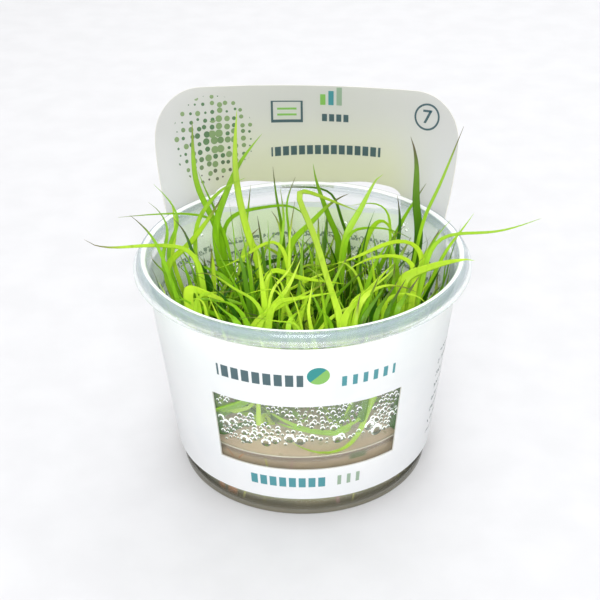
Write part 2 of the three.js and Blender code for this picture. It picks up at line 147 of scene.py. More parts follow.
class Finish(Web):
    """A material made of nodes."""

    family = "ShaderNode"

    def __init__(self, name):
        self.material = bpy.data.materials.new(name)
        self.material.use_nodes = True
        super().__init__(self.material.node_tree)

    def place(self):
        return self.add("TexCoord", {}, "Object")

    def attribute(self, name, output="Fac"):
        return self.add("Attribute", {}, output, attribute_name=name)

    def noise(self, scale, detail=2.0, where=None):
        sockets = {"Vector": where or self.place(), "Scale": scale, "Detail": detail}
        return self.add("TexNoise", sockets, "Fac")

    def patchy(self, noise, start=0.0, end=1.0):
        """Goes from start to end over the middle of a noise's range."""
        return self.smooth(noise, 0.3, 0.7, start, end)

    def mix(self, share, first, second):
        return self.add("Mix", {"Factor": share, "A": first, "B": second}, "Result", data_type="RGBA")

    def bump(self, height, distance, strength):
        return self.add("Bump", {"Strength": strength, "Distance": distance, "Height": height}, "Normal")

    def plastic(self, **sockets):
        named = {name.replace("_", " "): value for name, value in sockets.items()}
        return self.add("BsdfPrincipled", named)

    def clear(self, red, green, blue):
        return self.add("BsdfTransparent", {"Color": (red, green, blue, 1.0)})

    def blend(self, share, first, second):
        return self.add("MixShader", {0: share, 1: first, 2: second})

    def done(self, shader):
        self.add("OutputMaterial", {"Surface": shader})
        return self.material

    def done_clear(self, shader, tint):
        """Light on its way from the lamps meets a clear tint instead of the shader."""
        return self.done(self.blend(self.add("LightPath", {}, "Is Shadow Ray"), shader, self.clear(*tint)))


def colour(red, green, blue):
    """A screen colour from 0 to 255 as the linear numbers that shaders use."""
    def linear(value):
        share = value / 255
        return share / 12.92 if share <= 0.04045 else ((share + 0.055) / 1.055) ** 2.4

    return (linear(red), linear(green), linear(blue), 1.0)


print("wires and webs are ready")

# %% [markdown]
# The camera stands in front and looks down at the cup by thirty degrees, through a lens of about 78 mm, so
# the cup's mouth shows as a wide ellipse. Its place comes from the rim, the base and the card's edges in the
# picture. Four soft lamps light it: the key behind and to the right, one in front, one overhead and a long
# strip behind the rim. Pale surroundings and a floor that glows faintly keep the shadows light.

# %% Camera, light and floor
CAMERA_PLACE = Vector((-9.138, -337.702, 244.966)) * MM
CAMERA_AIM = Vector((-0.598, 9.286, 46.154)) * MM
CAMERA_ROLL = -0.0117
CAMERA_LENS = 77.67
CLIP_START = 0.01
SKY_GLOW = 0.93
SKY_TONE = (0.99, 0.995, 1.0, 1.0)
# Name, place, height of its aim, size and power of each lamp, and the strip's narrow side
SOFTBOXES = [
    ("key softbox", (0.32, 0.42, 0.7), 0.03, 0.8, 1.5),
    ("front softbox", (-0.06, -0.8, 0.55), 0.04, 0.6, 5.8),
    ("overhead softbox", (-0.04, 0.06, 1.1), 0.0, 0.5, 1.9),
    ("strip light", (0.05, 0.55, 0.62), 0.06, 0.6, 1.2, 0.05),
]
FLOOR_HALF = 3.0
FLOOR_GLOW = 0.18
FLOOR_TONES = (colour(184, 184, 186), colour(188, 188, 190))


def placed(name, data):
    """A new object that shows the data, at the origin."""
    made = bpy.data.objects.new(name, data)
    bpy.context.scene.collection.objects.link(made)
    return made


def make_camera():
    camera = placed("camera", bpy.data.cameras.new("camera"))
    camera.data.lens = CAMERA_LENS
    camera.data.clip_start = CLIP_START
    camera.location = CAMERA_PLACE
    aim = (CAMERA_AIM - CAMERA_PLACE).to_track_quat("-Z", "Y").to_matrix()
    camera.rotation_euler = (aim @ Matrix.Rotation(CAMERA_ROLL, 3, "Z")).to_euler()
    bpy.context.scene.camera = camera


def add_softbox(name, place, aim_height, size, power, narrow=None):
    lamp = placed(name, bpy.data.lights.new(name, "AREA"))
    lamp.data.shape = "ELLIPSE" if narrow else "DISK"
    lamp.data.size = size
    lamp.data.size_y = narrow or size
    lamp.data.energy = power
    lamp.location = place
    lamp.rotation_euler = (Vector((0, 0, aim_height)) - Vector(place)).to_track_quat("-Z", "Y").to_euler()


def make_studio():
    world = bpy.data.worlds.new("pale studio")
    world.use_nodes = True
    sky = Web(world.node_tree)
    glow = sky.node("ShaderNodeBackground", {"Color": SKY_TONE, "Strength": SKY_GLOW})
    sky.node("ShaderNodeOutputWorld", {"Surface": glow})
    bpy.context.scene.world = world
    bpy.context.scene.view_settings.view_transform = "Standard"
    for softbox in SOFTBOXES:
        add_softbox(*softbox)


def floor_finish():
    web = Finish("pale floor")
    shade = web.mix(web.patchy(web.noise(60.0, 3.0)), *FLOOR_TONES)
    return web.done(web.plastic(Base_Color=shade, Roughness=0.75, Specular_IOR_Level=0.15,
                                Emission_Color=(1.0, 1.0, 1.0, 1.0), Emission_Strength=FLOOR_GLOW))


def make_floor():
    mesh = bpy.data.meshes.new("floor")
    corners = [(x * FLOOR_HALF, y * FLOOR_HALF, 0) for x, y in ((-1, -1), (1, -1), (1, 1), (-1, 1))]
    mesh.from_pydata(corners, [], [(0, 1, 2, 3)])
    mesh.materials.append(floor_finish())
    floor = placed("floor", mesh)
    floor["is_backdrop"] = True


make_camera()
make_studio()
make_floor()
print("camera stands", round((CAMERA_AIM - CAMERA_PLACE).length / MM), "mm from what it looks at")

# %% [markdown]
# The cup is a thin moulded shell. It could be two cylinders and a torus, but a turned part is drawn more
# truly as one profile that is spun about its axis: the wall, the rolled rim and the thin flange are then one
# skin, with the same thickness all the way. Smooth stretches of the profile run through a few points.

# %% Cup shape
CUP_BASE_RADIUS = 37.9
CUP_TAPER = 0.115
CUP_WALL = 0.8
CUP_SIDES = 160
NECK = 64.4
RIM_TOP = 69.0
RIM_LOWER_EDGE = 65.1
RIM_RADIUS = 49.7
SHARP_ANGLE = math.radians(35.0)


def cup_radius(height):
    return CUP_BASE_RADIUS + CUP_TAPER * height


def inner_radius(height):
    return cup_radius(height) - CUP_WALL


def at_bearing(radius, bearing, height):
    """A point at some distance from the axis. Bearings are degrees from the back, growing to the right."""
    angle = math.radians(bearing)
    return (radius * math.sin(angle), radius * math.cos(angle), height)


def flowing(points, steps=4):
    """A smooth line through the points, with some steps between each two."""
    line = []
    padded = [points[0], *points, points[-1]]
    for before, start, end, after in zip(padded, padded[1:], padded[2:], padded[3:]):
        for step in range(steps):
            t = step / steps
            weights = (
                -0.5 * t + t**2 - 0.5 * t**3,
                1 - 2.5 * t**2 + 1.5 * t**3,
                0.5 * t + 2 * t**2 - 1.5 * t**3,
                -0.5 * t**2 + 0.5 * t**3,
            )
            both = zip(before, start, end, after)
            line.append(tuple(sum(w * value for w, value in zip(weights, values)) for values in both))
    return [*line, points[-1]]


def make_object(name, points, faces, material):
    """A mesh object from points in millimetres."""
    mesh = bpy.data.meshes.new(name)
    mesh.from_pydata([tuple(value * MM for value in point) for point in points], [], faces)
    mesh.materials.append(material)
    mesh.shade_smooth()
    mesh.set_sharp_from_angle(angle=SHARP_ANGLE)
    print(name, "has", len(mesh.polygons), "faces")
    return placed(name, mesh)


def turned(name, profile, sides, material):
    """Spins a profile of (radius, height) about Z. The profile starts and ends on the axis."""
    start, *rings, end = profile
    points = [(0, 0, start[1]), (0, 0, end[1])]
    for radius, height in rings:
        for side in range(sides):
            turn = 2 * math.pi * side / sides
            points.append((radius * math.cos(turn), radius * math.sin(turn), height))
    faces = []
    for side in range(sides):
        after = (side + 1) % sides
        faces.append((0, 2 + after, 2 + side))
        for ring in range(len(rings) - 1):
            low = 2 + ring * sides
            high = low + sides
            faces.append((low + side, low + after, high + after, high + side))
        last = 2 + (len(rings) - 1) * sides
        faces.append((1, last + side, last + after))
    return make_object(name, points, faces, material)


WALL_HEIGHTS = (8, 16, 24, 32, 40, 48, 56, NECK)
UNDER_ROLL = [(45.45, 65.4), (45.8, 66.8), (46.5, 67.7), (47.2, 68), (47.7, 67.5), (47.9, 66.6)]
FLANGE = [
    (48.0, 65.6), (48.25, 65.2), (48.6, RIM_LOWER_EDGE), (49.55, RIM_LOWER_EDGE), (RIM_RADIUS, 65.3),
    (RIM_RADIUS, 65.8), (49.55, 66),
]
OVER_ROLL = [
    (48.95, 66.25), (48.7, 66.8), (48.6, 67.7), (47.9, 68.7), (47, RIM_TOP), (46.2, 68.8), (45.6, 67.9),
]


def cup_profile():
    """From the middle of the foot up the outside, over the rim and down the inside."""
    foot_corner = flowing([(36.6, 0), (37.4, 0.15), (37.85, 0.5), (cup_radius(1.2), 1.2)], 3)
    outside = [(cup_radius(height), height) for height in WALL_HEIGHTS]
    inside = [(inner_radius(height), height) for height in reversed(WALL_HEIGHTS)]
    inner_corner = flowing([(inner_radius(2.2), 2.2), (36.9, 1.3), (36.2, 0.9), (35.4, CUP_WALL)], 3)
    rim = [*flowing(UNDER_ROLL, 3), *FLANGE, *flowing(OVER_ROLL)]
    return [(0, 0), *foot_corner, *outside, *rim, *inside, *inner_corner, (0, CUP_WALL)]


# %% [markdown]
# The cup is clear polypropylene with a faint blue-grey tint. A wall this thin hardly bends what is seen
# through it, so most of it is a plain clear shader that darkens where it is seen edge-on, a painted
# reflection that stands in for dark surroundings, with a share of true glass. The rim is thicker: its roll is
# a little milky, and its grey-blue is partly the plastic's tint and partly painted shade. Over the slot at
# the back it is painted clearer and less milky, painted light where the bright floor shows behind it. The
# inner lip's white line is a painted highlight. The foot takes the gel's colour, and a faint fog hangs on the
# wall.
# Shadow rays meet a clear tint, so the leaves get light.

# %% Cup finish
CUP_INDEX = 1.45
CUP_GLOSS = 0.12
RIM_SHINE = 0.8
FACE_ON = (0.985, 0.99, 0.99)
EDGE_ON_SHADE = (0.6, 0.64, 0.69)
CUP_SHADE = (0.95, 0.965, 0.97)
RIM_TINT = colour(236, 243, 246)
FLANGE_TONE = colour(246, 249, 251)
ROLL_TINT_AND_SHADE = colour(164, 181, 186)
LIP_HIGHLIGHT_TONE = colour(252, 253, 253)
FOG_TONE = colour(226, 234, 214)
FOOT_TONES = (colour(120, 114, 97), colour(99, 98, 83))
FLANGE_STEP = (48.6, 49.0)
SLOT_DEPTHS = (18, 36)
LIP_HIGHLIGHT_SHARE = 0.75
FOG_SHARE = 0.08
FOOT_SHARE = 0.85


def cup_finish():
    web = Finish("clear cup plastic")
    x, y, height = web.parts(web.place())
    radius = (x * x + y * y).maths("SQRT")
    rim_share = web.rise(height, NECK - 0.5, NECK + 1.5)
    in_slot = web.rise(y, *SLOT_DEPTHS)
    ripple = web.noise(40.0, 2.0)
    glass = web.plastic(Base_Color=RIM_TINT, Roughness=web.patchy(ripple, 0.02, 0.06), IOR=CUP_INDEX,
                        Transmission_Weight=1.0)
    # Painted reflection: the clear wall turns grey where it is seen edge-on, standing in for dark
    # surroundings reflected there
    facing = web.add("LayerWeight", {"Blend": 0.5}, "Facing")
    clear_wall = web.blend(facing ** 4.0 * 0.85, web.clear(*FACE_ON), web.clear(*EDGE_ON_SHADE))
    # Over the slot at the back the rim is painted clearer, painted light where the bright floor shows behind
    # it
    clear_share = web.smooth(rim_share, 0.0, 1.0, 0.92, 0.7) + rim_share * in_slot * 0.2
    body = web.blend(clear_share, glass, clear_wall)
    # The roll's grey-blue milk is partly the plastic's own tint and partly painted shade; less of it over the
    # slot is painted light
    roll = web.rise(height, 64.9, 66.2) * web.fall(radius, *FLANGE_STEP)
    flange = web.rise(radius, *FLANGE_STEP)
    milk_and_shade_tone = web.mix(roll, FLANGE_TONE, ROLL_TINT_AND_SHADE)
    milk_and_shade_share = rim_share * (0.06 + roll * 0.3 + flange * 0.2) * (1 - in_slot * 0.7)
    # Painted highlight: a white line along the top of the roll's inner lip
    lip_highlight_share = web.rise(height, 68.3, 68.7) * web.fall(radius, 47.0, 47.5) * LIP_HIGHLIGHT_SHARE
    fog_share = web.rise(height, 25, 30) * web.fall(height, 54, 60) * FOG_SHARE
    foot_share = web.fall(height, 1.2, 5.0, FOOT_SHARE)
    # Each share of a plastic goes over what is there
    for share, tone, gloss, shine in (
        (milk_and_shade_share, milk_and_shade_tone, CUP_GLOSS, RIM_SHINE),
        (lip_highlight_share, LIP_HIGHLIGHT_TONE, 0.2, RIM_SHINE),
        (fog_share, FOG_TONE, 0.5, 0.5),
        (foot_share, web.mix(ripple, *FOOT_TONES), CUP_GLOSS, 0.5),
    ):
        body = web.blend(share, body, web.plastic(Base_Color=tone, Roughness=gloss, Specular_IOR_Level=shine))
    return web.done_clear(body, CUP_SHADE)


cup = turned("cup_shell", cup_profile(), CUP_SIDES, cup_finish())

# %% [markdown]
# The card is cut flat from one sheet: a band that wraps the cup, and a header that grows from the band at the
# back, passes outside the rim and curves less and less towards its top. A sheet that is bent like that is
# easiest to draw as a grid: columns are bearings round the cup, rows are heights, and a cell of the grid
# either is card or is cut out. The band's two ends lap over each other at the side, where the real one is
# glued. Each point keeps its place on the flat sheet in millimetres, which the printing uses later.

# %% Card sizes
CARD_THICKNESS = 0.45
CARD_GAP = 0.35
BAND_BOTTOM = 7.3
BAND_TOP = 62.3
WINDOW_BOTTOM = 18.75
WINDOW_TOP = 42.4
WINDOW_HALF_ANGLE = 37.75
SLOT_LEFT = -32.5
SLOT_RIGHT = 41.0
TONGUE_LEFT = -6.1
TONGUE_RIGHT = 13.7
TONGUE_BOTTOM = 65.6
HEADER_BOTTOM = 67.7
SLOT_ARCH = 1.5
SLOT_ARCH_RUN = 14.0
SLOT_CORNER = 5.0
SLOT_CORNER_SHARE = 0.6
HEADER_TOP = 101.0
HEADER_LEFT = -54.8
HEADER_RIGHT = 62.9
HEADER_FACING = math.radians(6.7)
HEADER_STAND_OFF = 50.55
HEADER_LOW_RADIUS = 50.7
HEADER_TOP_RADIUS = 168.0
HEADER_BEND_START = 66.0
HEADER_BEND_END = 100.0
HEADER_LEAN = 0.032
HEADER_CORNER = 14.5
EDGE_LEVEL = 80.0
LEFT_EDGE = (-52.8, 0.106)
RIGHT_EDGE = (48.3, -0.094)
FLARE_START = 47.0
FLARE_REACH = 4.4
FLARE_FADE = 14.0
LAP_EDGE = 84.0
LAP_WIDTH = 8.0
LAP_STEP = 0.5
LAP_EASE_START = 2
LAP_EASE_RUN = 6
COLUMN_STEP = 2.0
SHEET_LEVEL = 30
# Distances of the columns from the header's edges and from the slot's ends, closer round the corners
EDGE_STEPS = [0, 0.25, 0.6, 1.2, 1.9, 2.9, 4, 5.5, 7.2, 9, 11, 12.8, 14.5]
SLOT_STEPS = [0, 0.3, 0.75, 1.5, 2.5, 3.7, 5]


def ease(t):
    t = min(max(t, 0.0), 1.0)
    return t * t * (3 - 2 * t)


def mid(low, high, share):
    return low + (high - low) * share


def wrapped(bearing):
    return (bearing + 180) % 360 - 180


def flare(bearing, height):
    """How far the band bends out to pass outside the rim where the header grows from it."""
    if SLOT_LEFT < bearing < SLOT_RIGHT:
        beside = min(bearing - SLOT_LEFT, SLOT_RIGHT - bearing)
    else:
        beside = max(HEADER_LEFT - bearing, bearing - HEADER_RIGHT, 0.0)
    rise = ease((height - FLARE_START) / (BAND_TOP - FLARE_START))
    return FLARE_REACH * rise * (1 - ease(beside / FLARE_FADE))


def band_point(column, height, proud):
    lap = LAP_STEP * (1 - ease((column - LAP_EDGE - LAP_WIDTH - LAP_EASE_START) / LAP_EASE_RUN))
    bearing = wrapped(column)
    middle = cup_radius(height) + CARD_GAP + CARD_THICKNESS / 2
    return at_bearing(middle + flare(bearing, height) + proud + lap, bearing, height)


def header_edges(height):
    return [start + slope * (height - EDGE_LEVEL) for start, slope in (LEFT_EDGE, RIGHT_EDGE)]


def header_along(bearing, height):
    left, right = header_edges(height)
    return left + (right - left) * (bearing - HEADER_LEFT) / (HEADER_RIGHT - HEADER_LEFT)


def header_point(bearing, height, proud):
    rise = max((height - HEADER_BEND_START) / (HEADER_BEND_END - HEADER_BEND_START), 0.0)
    bend = mid(1 / HEADER_LOW_RADIUS, 1 / HEADER_TOP_RADIUS, rise)
    turn = header_along(bearing, height) * bend
    x = math.sin(turn) / bend + proud * math.sin(turn)
    stand_off = HEADER_STAND_OFF - HEADER_LEAN * max(height - HEADER_BEND_START, 0.0)
    y = stand_off - (1 - math.cos(turn)) / bend + proud * math.cos(turn)
    cos, sin = math.cos(HEADER_FACING), math.sin(HEADER_FACING)
    return (cos * x + sin * y, cos * y - sin * x, height)


def quarter_drop(inset, radius):
    """How far a quarter-round corner falls below its full height at some distance from the edge."""
    return radius - math.sqrt(max(radius**2 - (radius - min(max(inset, 0.0), radius)) ** 2, 0.0))


def header_top(bearing):
    left, right = header_edges(HEADER_TOP - HEADER_CORNER)
    along = (right - left) * (bearing - HEADER_LEFT) / (HEADER_RIGHT - HEADER_LEFT)
    return HEADER_TOP - quarter_drop(min(along, right - left - along), HEADER_CORNER)


def header_foot(bearing):
    middle = (TONGUE_LEFT + TONGUE_RIGHT) / 2
    aside = abs(bearing - middle) - (TONGUE_RIGHT - TONGUE_LEFT) / 2
    from_end = math.radians(min(bearing - SLOT_LEFT, SLOT_RIGHT - bearing)) * HEADER_LOW_RADIUS
    drop = SLOT_CORNER_SHARE * quarter_drop(from_end, SLOT_CORNER)
    return HEADER_BOTTOM + SLOT_ARCH * ease(aside / SLOT_ARCH_RUN) - drop


# %% Card grid
BAND_ROWS = [
    BAND_BOTTOM, 11.0, 15.0, WINDOW_BOTTOM, 24.0, 30.0, 36.0, WINDOW_TOP,
    *[mid(WINDOW_TOP, BAND_TOP, step / 10) for step in range(1, 11)],
]
FOOT_ROW = len(BAND_ROWS) + 1
HEADER_STEPS = 20


def card_columns():
    """Bearings from the lap's outer end, once round and on under the lap."""
    marks = [LAP_EDGE, LAP_EDGE + 360 + LAP_WIDTH, 360 + TONGUE_LEFT, 360 + TONGUE_RIGHT]
    marks += [180 - WINDOW_HALF_ANGLE, 180 + WINDOW_HALF_ANGLE]
    for edge, way, steps in (
        (HEADER_LEFT, 1, EDGE_STEPS), (HEADER_RIGHT, -1, EDGE_STEPS),
        (SLOT_LEFT, 1, SLOT_STEPS), (SLOT_RIGHT, -1, SLOT_STEPS),
    ):
        marks += [360 + edge + way * math.degrees(step / HEADER_LOW_RADIUS) for step in steps]
    count = round((360 + LAP_WIDTH) / COLUMN_STEP)
    even = [LAP_EDGE + COLUMN_STEP * step for step in range(count)]
    clear = [one for one in even if all(abs(one - mark) > COLUMN_STEP * 0.45 for mark in marks)]
    return sorted(marks + clear)


def card_point(column, row, proud):
    """A point of the card, with its place on the flat sheet: along it, and up it."""
    bearing = wrapped(column)
    if row < len(BAND_ROWS):
        height = BAND_ROWS[row]
        along = math.radians(bearing) * (cup_radius(height) + CARD_GAP)
        return band_point(column, height, proud), (along, height)
    if row < FOOT_ROW:
        height = TONGUE_BOTTOM
    else:
        height = mid(header_foot(bearing), header_top(bearing), (row - FOOT_ROW) / HEADER_STEPS)
    return header_point(bearing, height, proud), (header_along(bearing, height), height)


def is_card(column, row):
    """Whether the cell above a row line is card at that bearing."""
    bearing = wrapped(column)
    in_header = HEADER_LEFT < bearing < HEADER_RIGHT
    in_slot = SLOT_LEFT < bearing < SLOT_RIGHT
    in_tongue = TONGUE_LEFT < bearing < TONGUE_RIGHT
    if row >= FOOT_ROW:
        return in_header
    if row == FOOT_ROW - 1:
        return in_tongue or (in_header and not in_slot)
    if row == FOOT_ROW - 2:
        return in_header and not in_slot
    in_window = WINDOW_BOTTOM <= BAND_ROWS[row] < WINDOW_TOP
    return not (in_window and abs(bearing) > 180 - WINDOW_HALF_ANGLE)


def build_card(material):
    columns = card_columns()
    last_row = FOOT_ROW + HEADER_STEPS
    points = []
    front_places = []
    back_places = []
    known = {}

    def corner(index, row, side):
        key = (index, row, side)
        if key not in known:
            point, (along, height) = card_point(columns[index], row, side * CARD_THICKNESS / 2)
            known[key] = len(points)
            points.append(point)
            front_along = math.radians(180 - columns[index]) * cup_radius(SHEET_LEVEL)
            front_places.append((front_along, height, side))
            back_places.append((along, height, side))
        return known[key]

    def filled(index, row):
        inside = 0 <= index < len(columns) - 1 and 0 <= row < last_row
        return inside and is_card((columns[index] + columns[index + 1]) / 2, row)

    faces = []
    for index in range(len(columns) - 1):
        for row in range(last_row):
            if not filled(index, row):
                continue
            steps = ((0, 0), (0, 1), (1, 1), (1, 0))
            outer = [corner(index + across, row + up, 1) for across, up in steps]
            inner = [corner(index + across, row + up, -1) for across, up in steps]
            faces.append(outer)
            faces.append(inner[::-1])
            for edge, (across, up) in enumerate(((-1, 0), (0, 1), (1, 0), (0, -1))):
                if not filled(index + across, row + up):
                    after = (edge + 1) % 4
                    faces.append((outer[after], outer[edge], inner[edge], inner[after]))
    card = make_object("card_sleeve_printed", points, faces, material)
    for name, places in (("front_sheet", front_places), ("back_sheet", back_places)):
        layer = card.data.attributes.new(name, "FLOAT_VECTOR", "POINT")
        layer.data.foreach_set("vector", [value for place in places for value in place])
    return card


# %% [markdown]
# The card is smooth, coated and white, and a little warmer where its raw edge shows. It is thin enough for
# some light to come through. Its printing is a set of plain generic marks, and each mark is a small formula
# on the flat sheet's own millimetres: a block, a ring, a row of blocks or lines of fine specks. The marks are
# only colour, so they stay in the finish and aren't raised.

# %% Card finish
INK_DARK = colour(38, 82, 92)
INK_TEAL = colour(40, 145, 155)
INK_GREEN = colour(128, 190, 78)
INK_PALE = colour(150, 176, 150)
INK_SIDE_SPECKS = colour(120, 132, 132)
INK_INSIDE_SPECKS = colour(108, 134, 116)
DOT_TONES = (colour(84, 62, 70), colour(74, 120, 72), colour(132, 160, 104))
CARD_WHITES = (colour(247, 248, 249), colour(243, 245, 247))
CARD_EDGE = colour(232, 230, 222)
HEADER_GREY = colour(208, 208, 206)
HEADER_LOW_GREY = colour(225, 225, 225)
HEADER_OLIVE = colour(220, 221, 194)
INSIDE_GREEN_AND_BOUNCE = colour(245, 252, 224)
INSIDE_WHITE = colour(251, 252, 250)
SPECK_SCALE = 1.25
SPECK_GAPS = 0.12
OUTER_FACE = 0.9
FRONT_INK = 0.92
BACK_INK = 0.9
HEADER_TILT = 0.042
DOTS_MIDDLE = (-33.0, 84.5)
SEE_THROUGH = 0.4
OUTSIDE_LESS = -0.12


class Printing:
    """Marks on the flat sheet. Each method gives a mask that is 1 on the ink."""

    def __init__(self, web, along, up):
        self.web = web
        self.along = along
        self.up = up

    def block(self, x, y, width, height):
        inside = abs(self.along - x) < width / 2
        return inside * (abs(self.up - y) < height / 2)

    def disc(self, x, y, radius):
        across = self.along - x
        above = self.up - y
        return across * across + above * above < radius**2

    def ring(self, x, y, radius, line):
        return self.disc(x, y, radius) - self.disc(x, y, radius - line)

    def blocks(self, start, end, y, height, pitch, share):
        """A row of equal upright blocks."""
        beat = (self.along / pitch).maths("FRACT") < share
        return beat * self.block((start + end) / 2, y, end - start, height)

    def specks(self, start, end, low, high, pitch, height, word):
        """Lines of small broken specks, with gaps of chance lengths, in place of fine print."""
        line = (self.up / pitch).maths("FLOOR")
        word_place = self.web.vector((self.along / word + line * 0.37).maths("FLOOR"), line, 0.0)
        gap = self.web.add("TexWhiteNoise", {"Vector": word_place}) < SPECK_GAPS
        grain_place = self.web.vector(self.along, self.up * 0.7, 0.0)
        grain = self.web.noise(SPECK_SCALE, 1.0, grain_place)
        in_line = (self.up / pitch).maths("FRACT") < height / pitch
        ink = (grain > 0.5) * in_line * (1 - gap)
        return ink * self.block((start + end) / 2, (low + high) / 2, end - start, high - low)


def printed(web, ground, layers, where, strength):
    for mask, ink in layers:
        ground = web.mix(mask * where * strength, ground, ink)
    return ground


def front_print(web, ground, sheet):
    along, up, side = web.parts(sheet)
    marks = Printing(web, along, up)
    layers = [
        (marks.blocks(-24.6, -1.2, 51.6, 4.0, 2.9, 0.72), INK_DARK),
        (marks.disc(2.6, 53.2, 2.9), INK_GREEN),
        (marks.disc(2.6, 53.2, 2.9) * (along - up < -50.6), INK_TEAL),
        (marks.blocks(7.2, 24.0, 50.6, 3.4, 2.9, 0.45), INK_TEAL),
        (marks.blocks(-17.4, 5.6, 13.8, 3.6, 2.9, 0.72), INK_TEAL),
        (marks.blocks(8.4, 17.0, 13.8, 3.6, 2.9, 0.4), INK_PALE),
        (marks.specks(46.0, 66.0, 14.0, 45.0, 4.4, 1.7, 1.6), INK_SIDE_SPECKS),
    ]
    return printed(web, ground, layers, side > OUTER_FACE, FRONT_INK)


def header_dots(web, along, up, marks):
    """A plain pattern of dots that are green above and plum below."""
    sockets = {"Vector": web.vector(along, up, 0.0), "Scale": 0.42, "Randomness": 0.35}
    cells = web.add("TexVoronoi", sockets, "Distance", voronoi_dimensions="2D")
    chance = web.add("TexWhiteNoise", {"Vector": cells.out("Position")})
    middle_along, middle_up = DOTS_MIDDLE
    across = (along - middle_along) / 13.5
    above = (up - middle_up) / 14.0
    field = 1 - (across * across + above * above).maths("SQRT")
    dot = cells < chance * 0.25 + field * 0.3 + 0.05
    plum, green, light_green = DOT_TONES
    tone = web.mix(web.smooth(up, 71.0, 80.0), plum, green)
    tone = web.mix(web.smooth(chance, 0.5, 0.8), tone, light_green)
    return dot * (field > 0.0) * marks.block(*DOTS_MIDDLE, 30.0, 30.0), tone


def back_print(web, ground, sheet):
    along, up, side = web.parts(sheet)
    marks = Printing(web, along, up)
    leaning = Printing(web, along, up - along * HEADER_TILT)
    inside = side < -OUTER_FACE
    wide = abs(along + 2.0)
    # The header's inner face goes from light grey low down to darker grey at its top, and is olive low in its
    # middle
    olive_share = web.smooth(up, 68.0, 97.0, 1.0, 0.12) * web.smooth(wide, 24.0, 46.0, 1.0, 0.0)
    grey = web.mix(web.smooth(up, 70.0, 98.0), HEADER_LOW_GREY, HEADER_GREY)
    header = web.smooth(up, BAND_TOP, TONGUE_BOTTOM)
    ground = web.mix(header * inside, ground, web.mix(olive_share, grey, HEADER_OLIVE))
    label = web.smooth(up, 60.5, 60.9, 1.0, 0.0) * (up > 30.0) * (wide < 62.0)
    # The inside is greener in the middle: partly the label's own tint, partly painted green light bounced
    # from the leaves
    label_tone_and_bounce = web.mix(web.smooth(wide, 16.0, 46.0), INSIDE_GREEN_AND_BOUNCE, INSIDE_WHITE)
    ground = web.mix(label * inside, ground, label_tone_and_bounce)
    seven_stroke = abs(along - 36.4 - (up - 93.4) * 0.45) < 0.42
    layers = [
        header_dots(web, along, up, marks),
        (marks.block(-8.9, 92.2, 10.2, 7.4) - marks.block(-8.9, 92.5, 8.8, 6.0), INK_DARK),
        (marks.block(-8.9, 91.2, 6.2, 0.7) + marks.block(-8.9, 93.2, 6.2, 0.7), INK_GREEN),
        (marks.block(2.6, 96.4, 1.7, 3.6), INK_GREEN),
        (marks.block(5.2, 97.0, 1.7, 4.8), INK_TEAL),
        (marks.block(7.8, 97.6, 1.7, 6.0), INK_PALE),
        (marks.blocks(2.0, 11.2, 90.3, 2.5, 2.3, 0.7), INK_DARK),
        (leaning.blocks(-14.2, 21.6, 79.0, 3.2, 2.6, 0.74), INK_DARK),
        (marks.ring(36.2, 93.5, 4.1, 0.6), INK_DARK),
        (marks.block(36.2, 95.3, 2.8, 0.7), INK_DARK),
        (marks.block(36.2, 93.6, 6.0, 4.0) * seven_stroke, INK_DARK),
        (marks.specks(-60.0, 60.0, 30.0, 53.5, 3.9, 1.7, 1.5), INK_INSIDE_SPECKS),
    ]
    return printed(web, ground, layers, inside, BACK_INK)


def card_finish():
    web = Finish("printed card")
    front_sheet = web.attribute("front_sheet", "Vector")
    back_sheet = web.attribute("back_sheet", "Vector")
    side = web.parts(front_sheet)[2]
    fibre = web.noise(900.0, 4.0)
    mottle = web.noise(70.0, 3.0)
    white = web.mix(web.patchy(mottle), *CARD_WHITES)
    inked = back_print(web, front_print(web, white, front_sheet), back_sheet)
    tone = web.mix(abs(side) < OUTER_FACE, inked, CARD_EDGE)
    face = web.plastic(Base_Color=tone, Roughness=web.patchy(mottle, 0.32, 0.42), Specular_IOR_Level=0.4,
                       Normal=web.bump(fibre, 0.02 * MM, 0.35))
    through = web.add("BsdfTranslucent", {"Color": tone})
    return web.done(web.blend(side * OUTSIDE_LESS + SEE_THROUGH, face, through))


card = build_card(card_finish())

# %% [markdown]
# The gel is poured warm and sets in the cup's foot, so it takes the cup's shape, with a small rise where it
# wets the wall. It is a turned piece too. Its finish is a wet, cloudy olive brown that is darker below, and
# its top is painted lighter than its side, painted light from above. The pale line at its level is a painted
# highlight, with a band of painted shade under it on the side. The olive band and the roots at its side are
# only colour: each root is one row of a table, and a loop paints them.

# %% Gel
GEL_BOTTOM = 1.1
GEL_TOP = 22.0
GEL_GAP = 0.12
GEL_SIDES = 96
MENISCUS = 0.5
GEL_TILT = 0.018
INNER_FOOT = CUP_BASE_RADIUS - CUP_WALL
GEL_LOW = (colour(111, 107, 88), colour(127, 119, 94))
GEL_HIGH = (colour(150, 134, 110), colour(174, 155, 125))
GEL_SURFACE_LIT = colour(238, 210, 182)
GEL_LINE_HIGHLIGHT = colour(236, 226, 204)
UNDER_LINE_SHADE = colour(98, 86, 72)
STREAK_TONE = colour(150, 142, 96)
BAND_TONE = colour(158, 162, 116)
ROOT_ORANGE = colour(176, 128, 92)
ROOT_YELLOW = colour(166, 164, 98)
ROOT_PINK = colour(158, 128, 118)
ROOT_GREEN = colour(88, 106, 72)
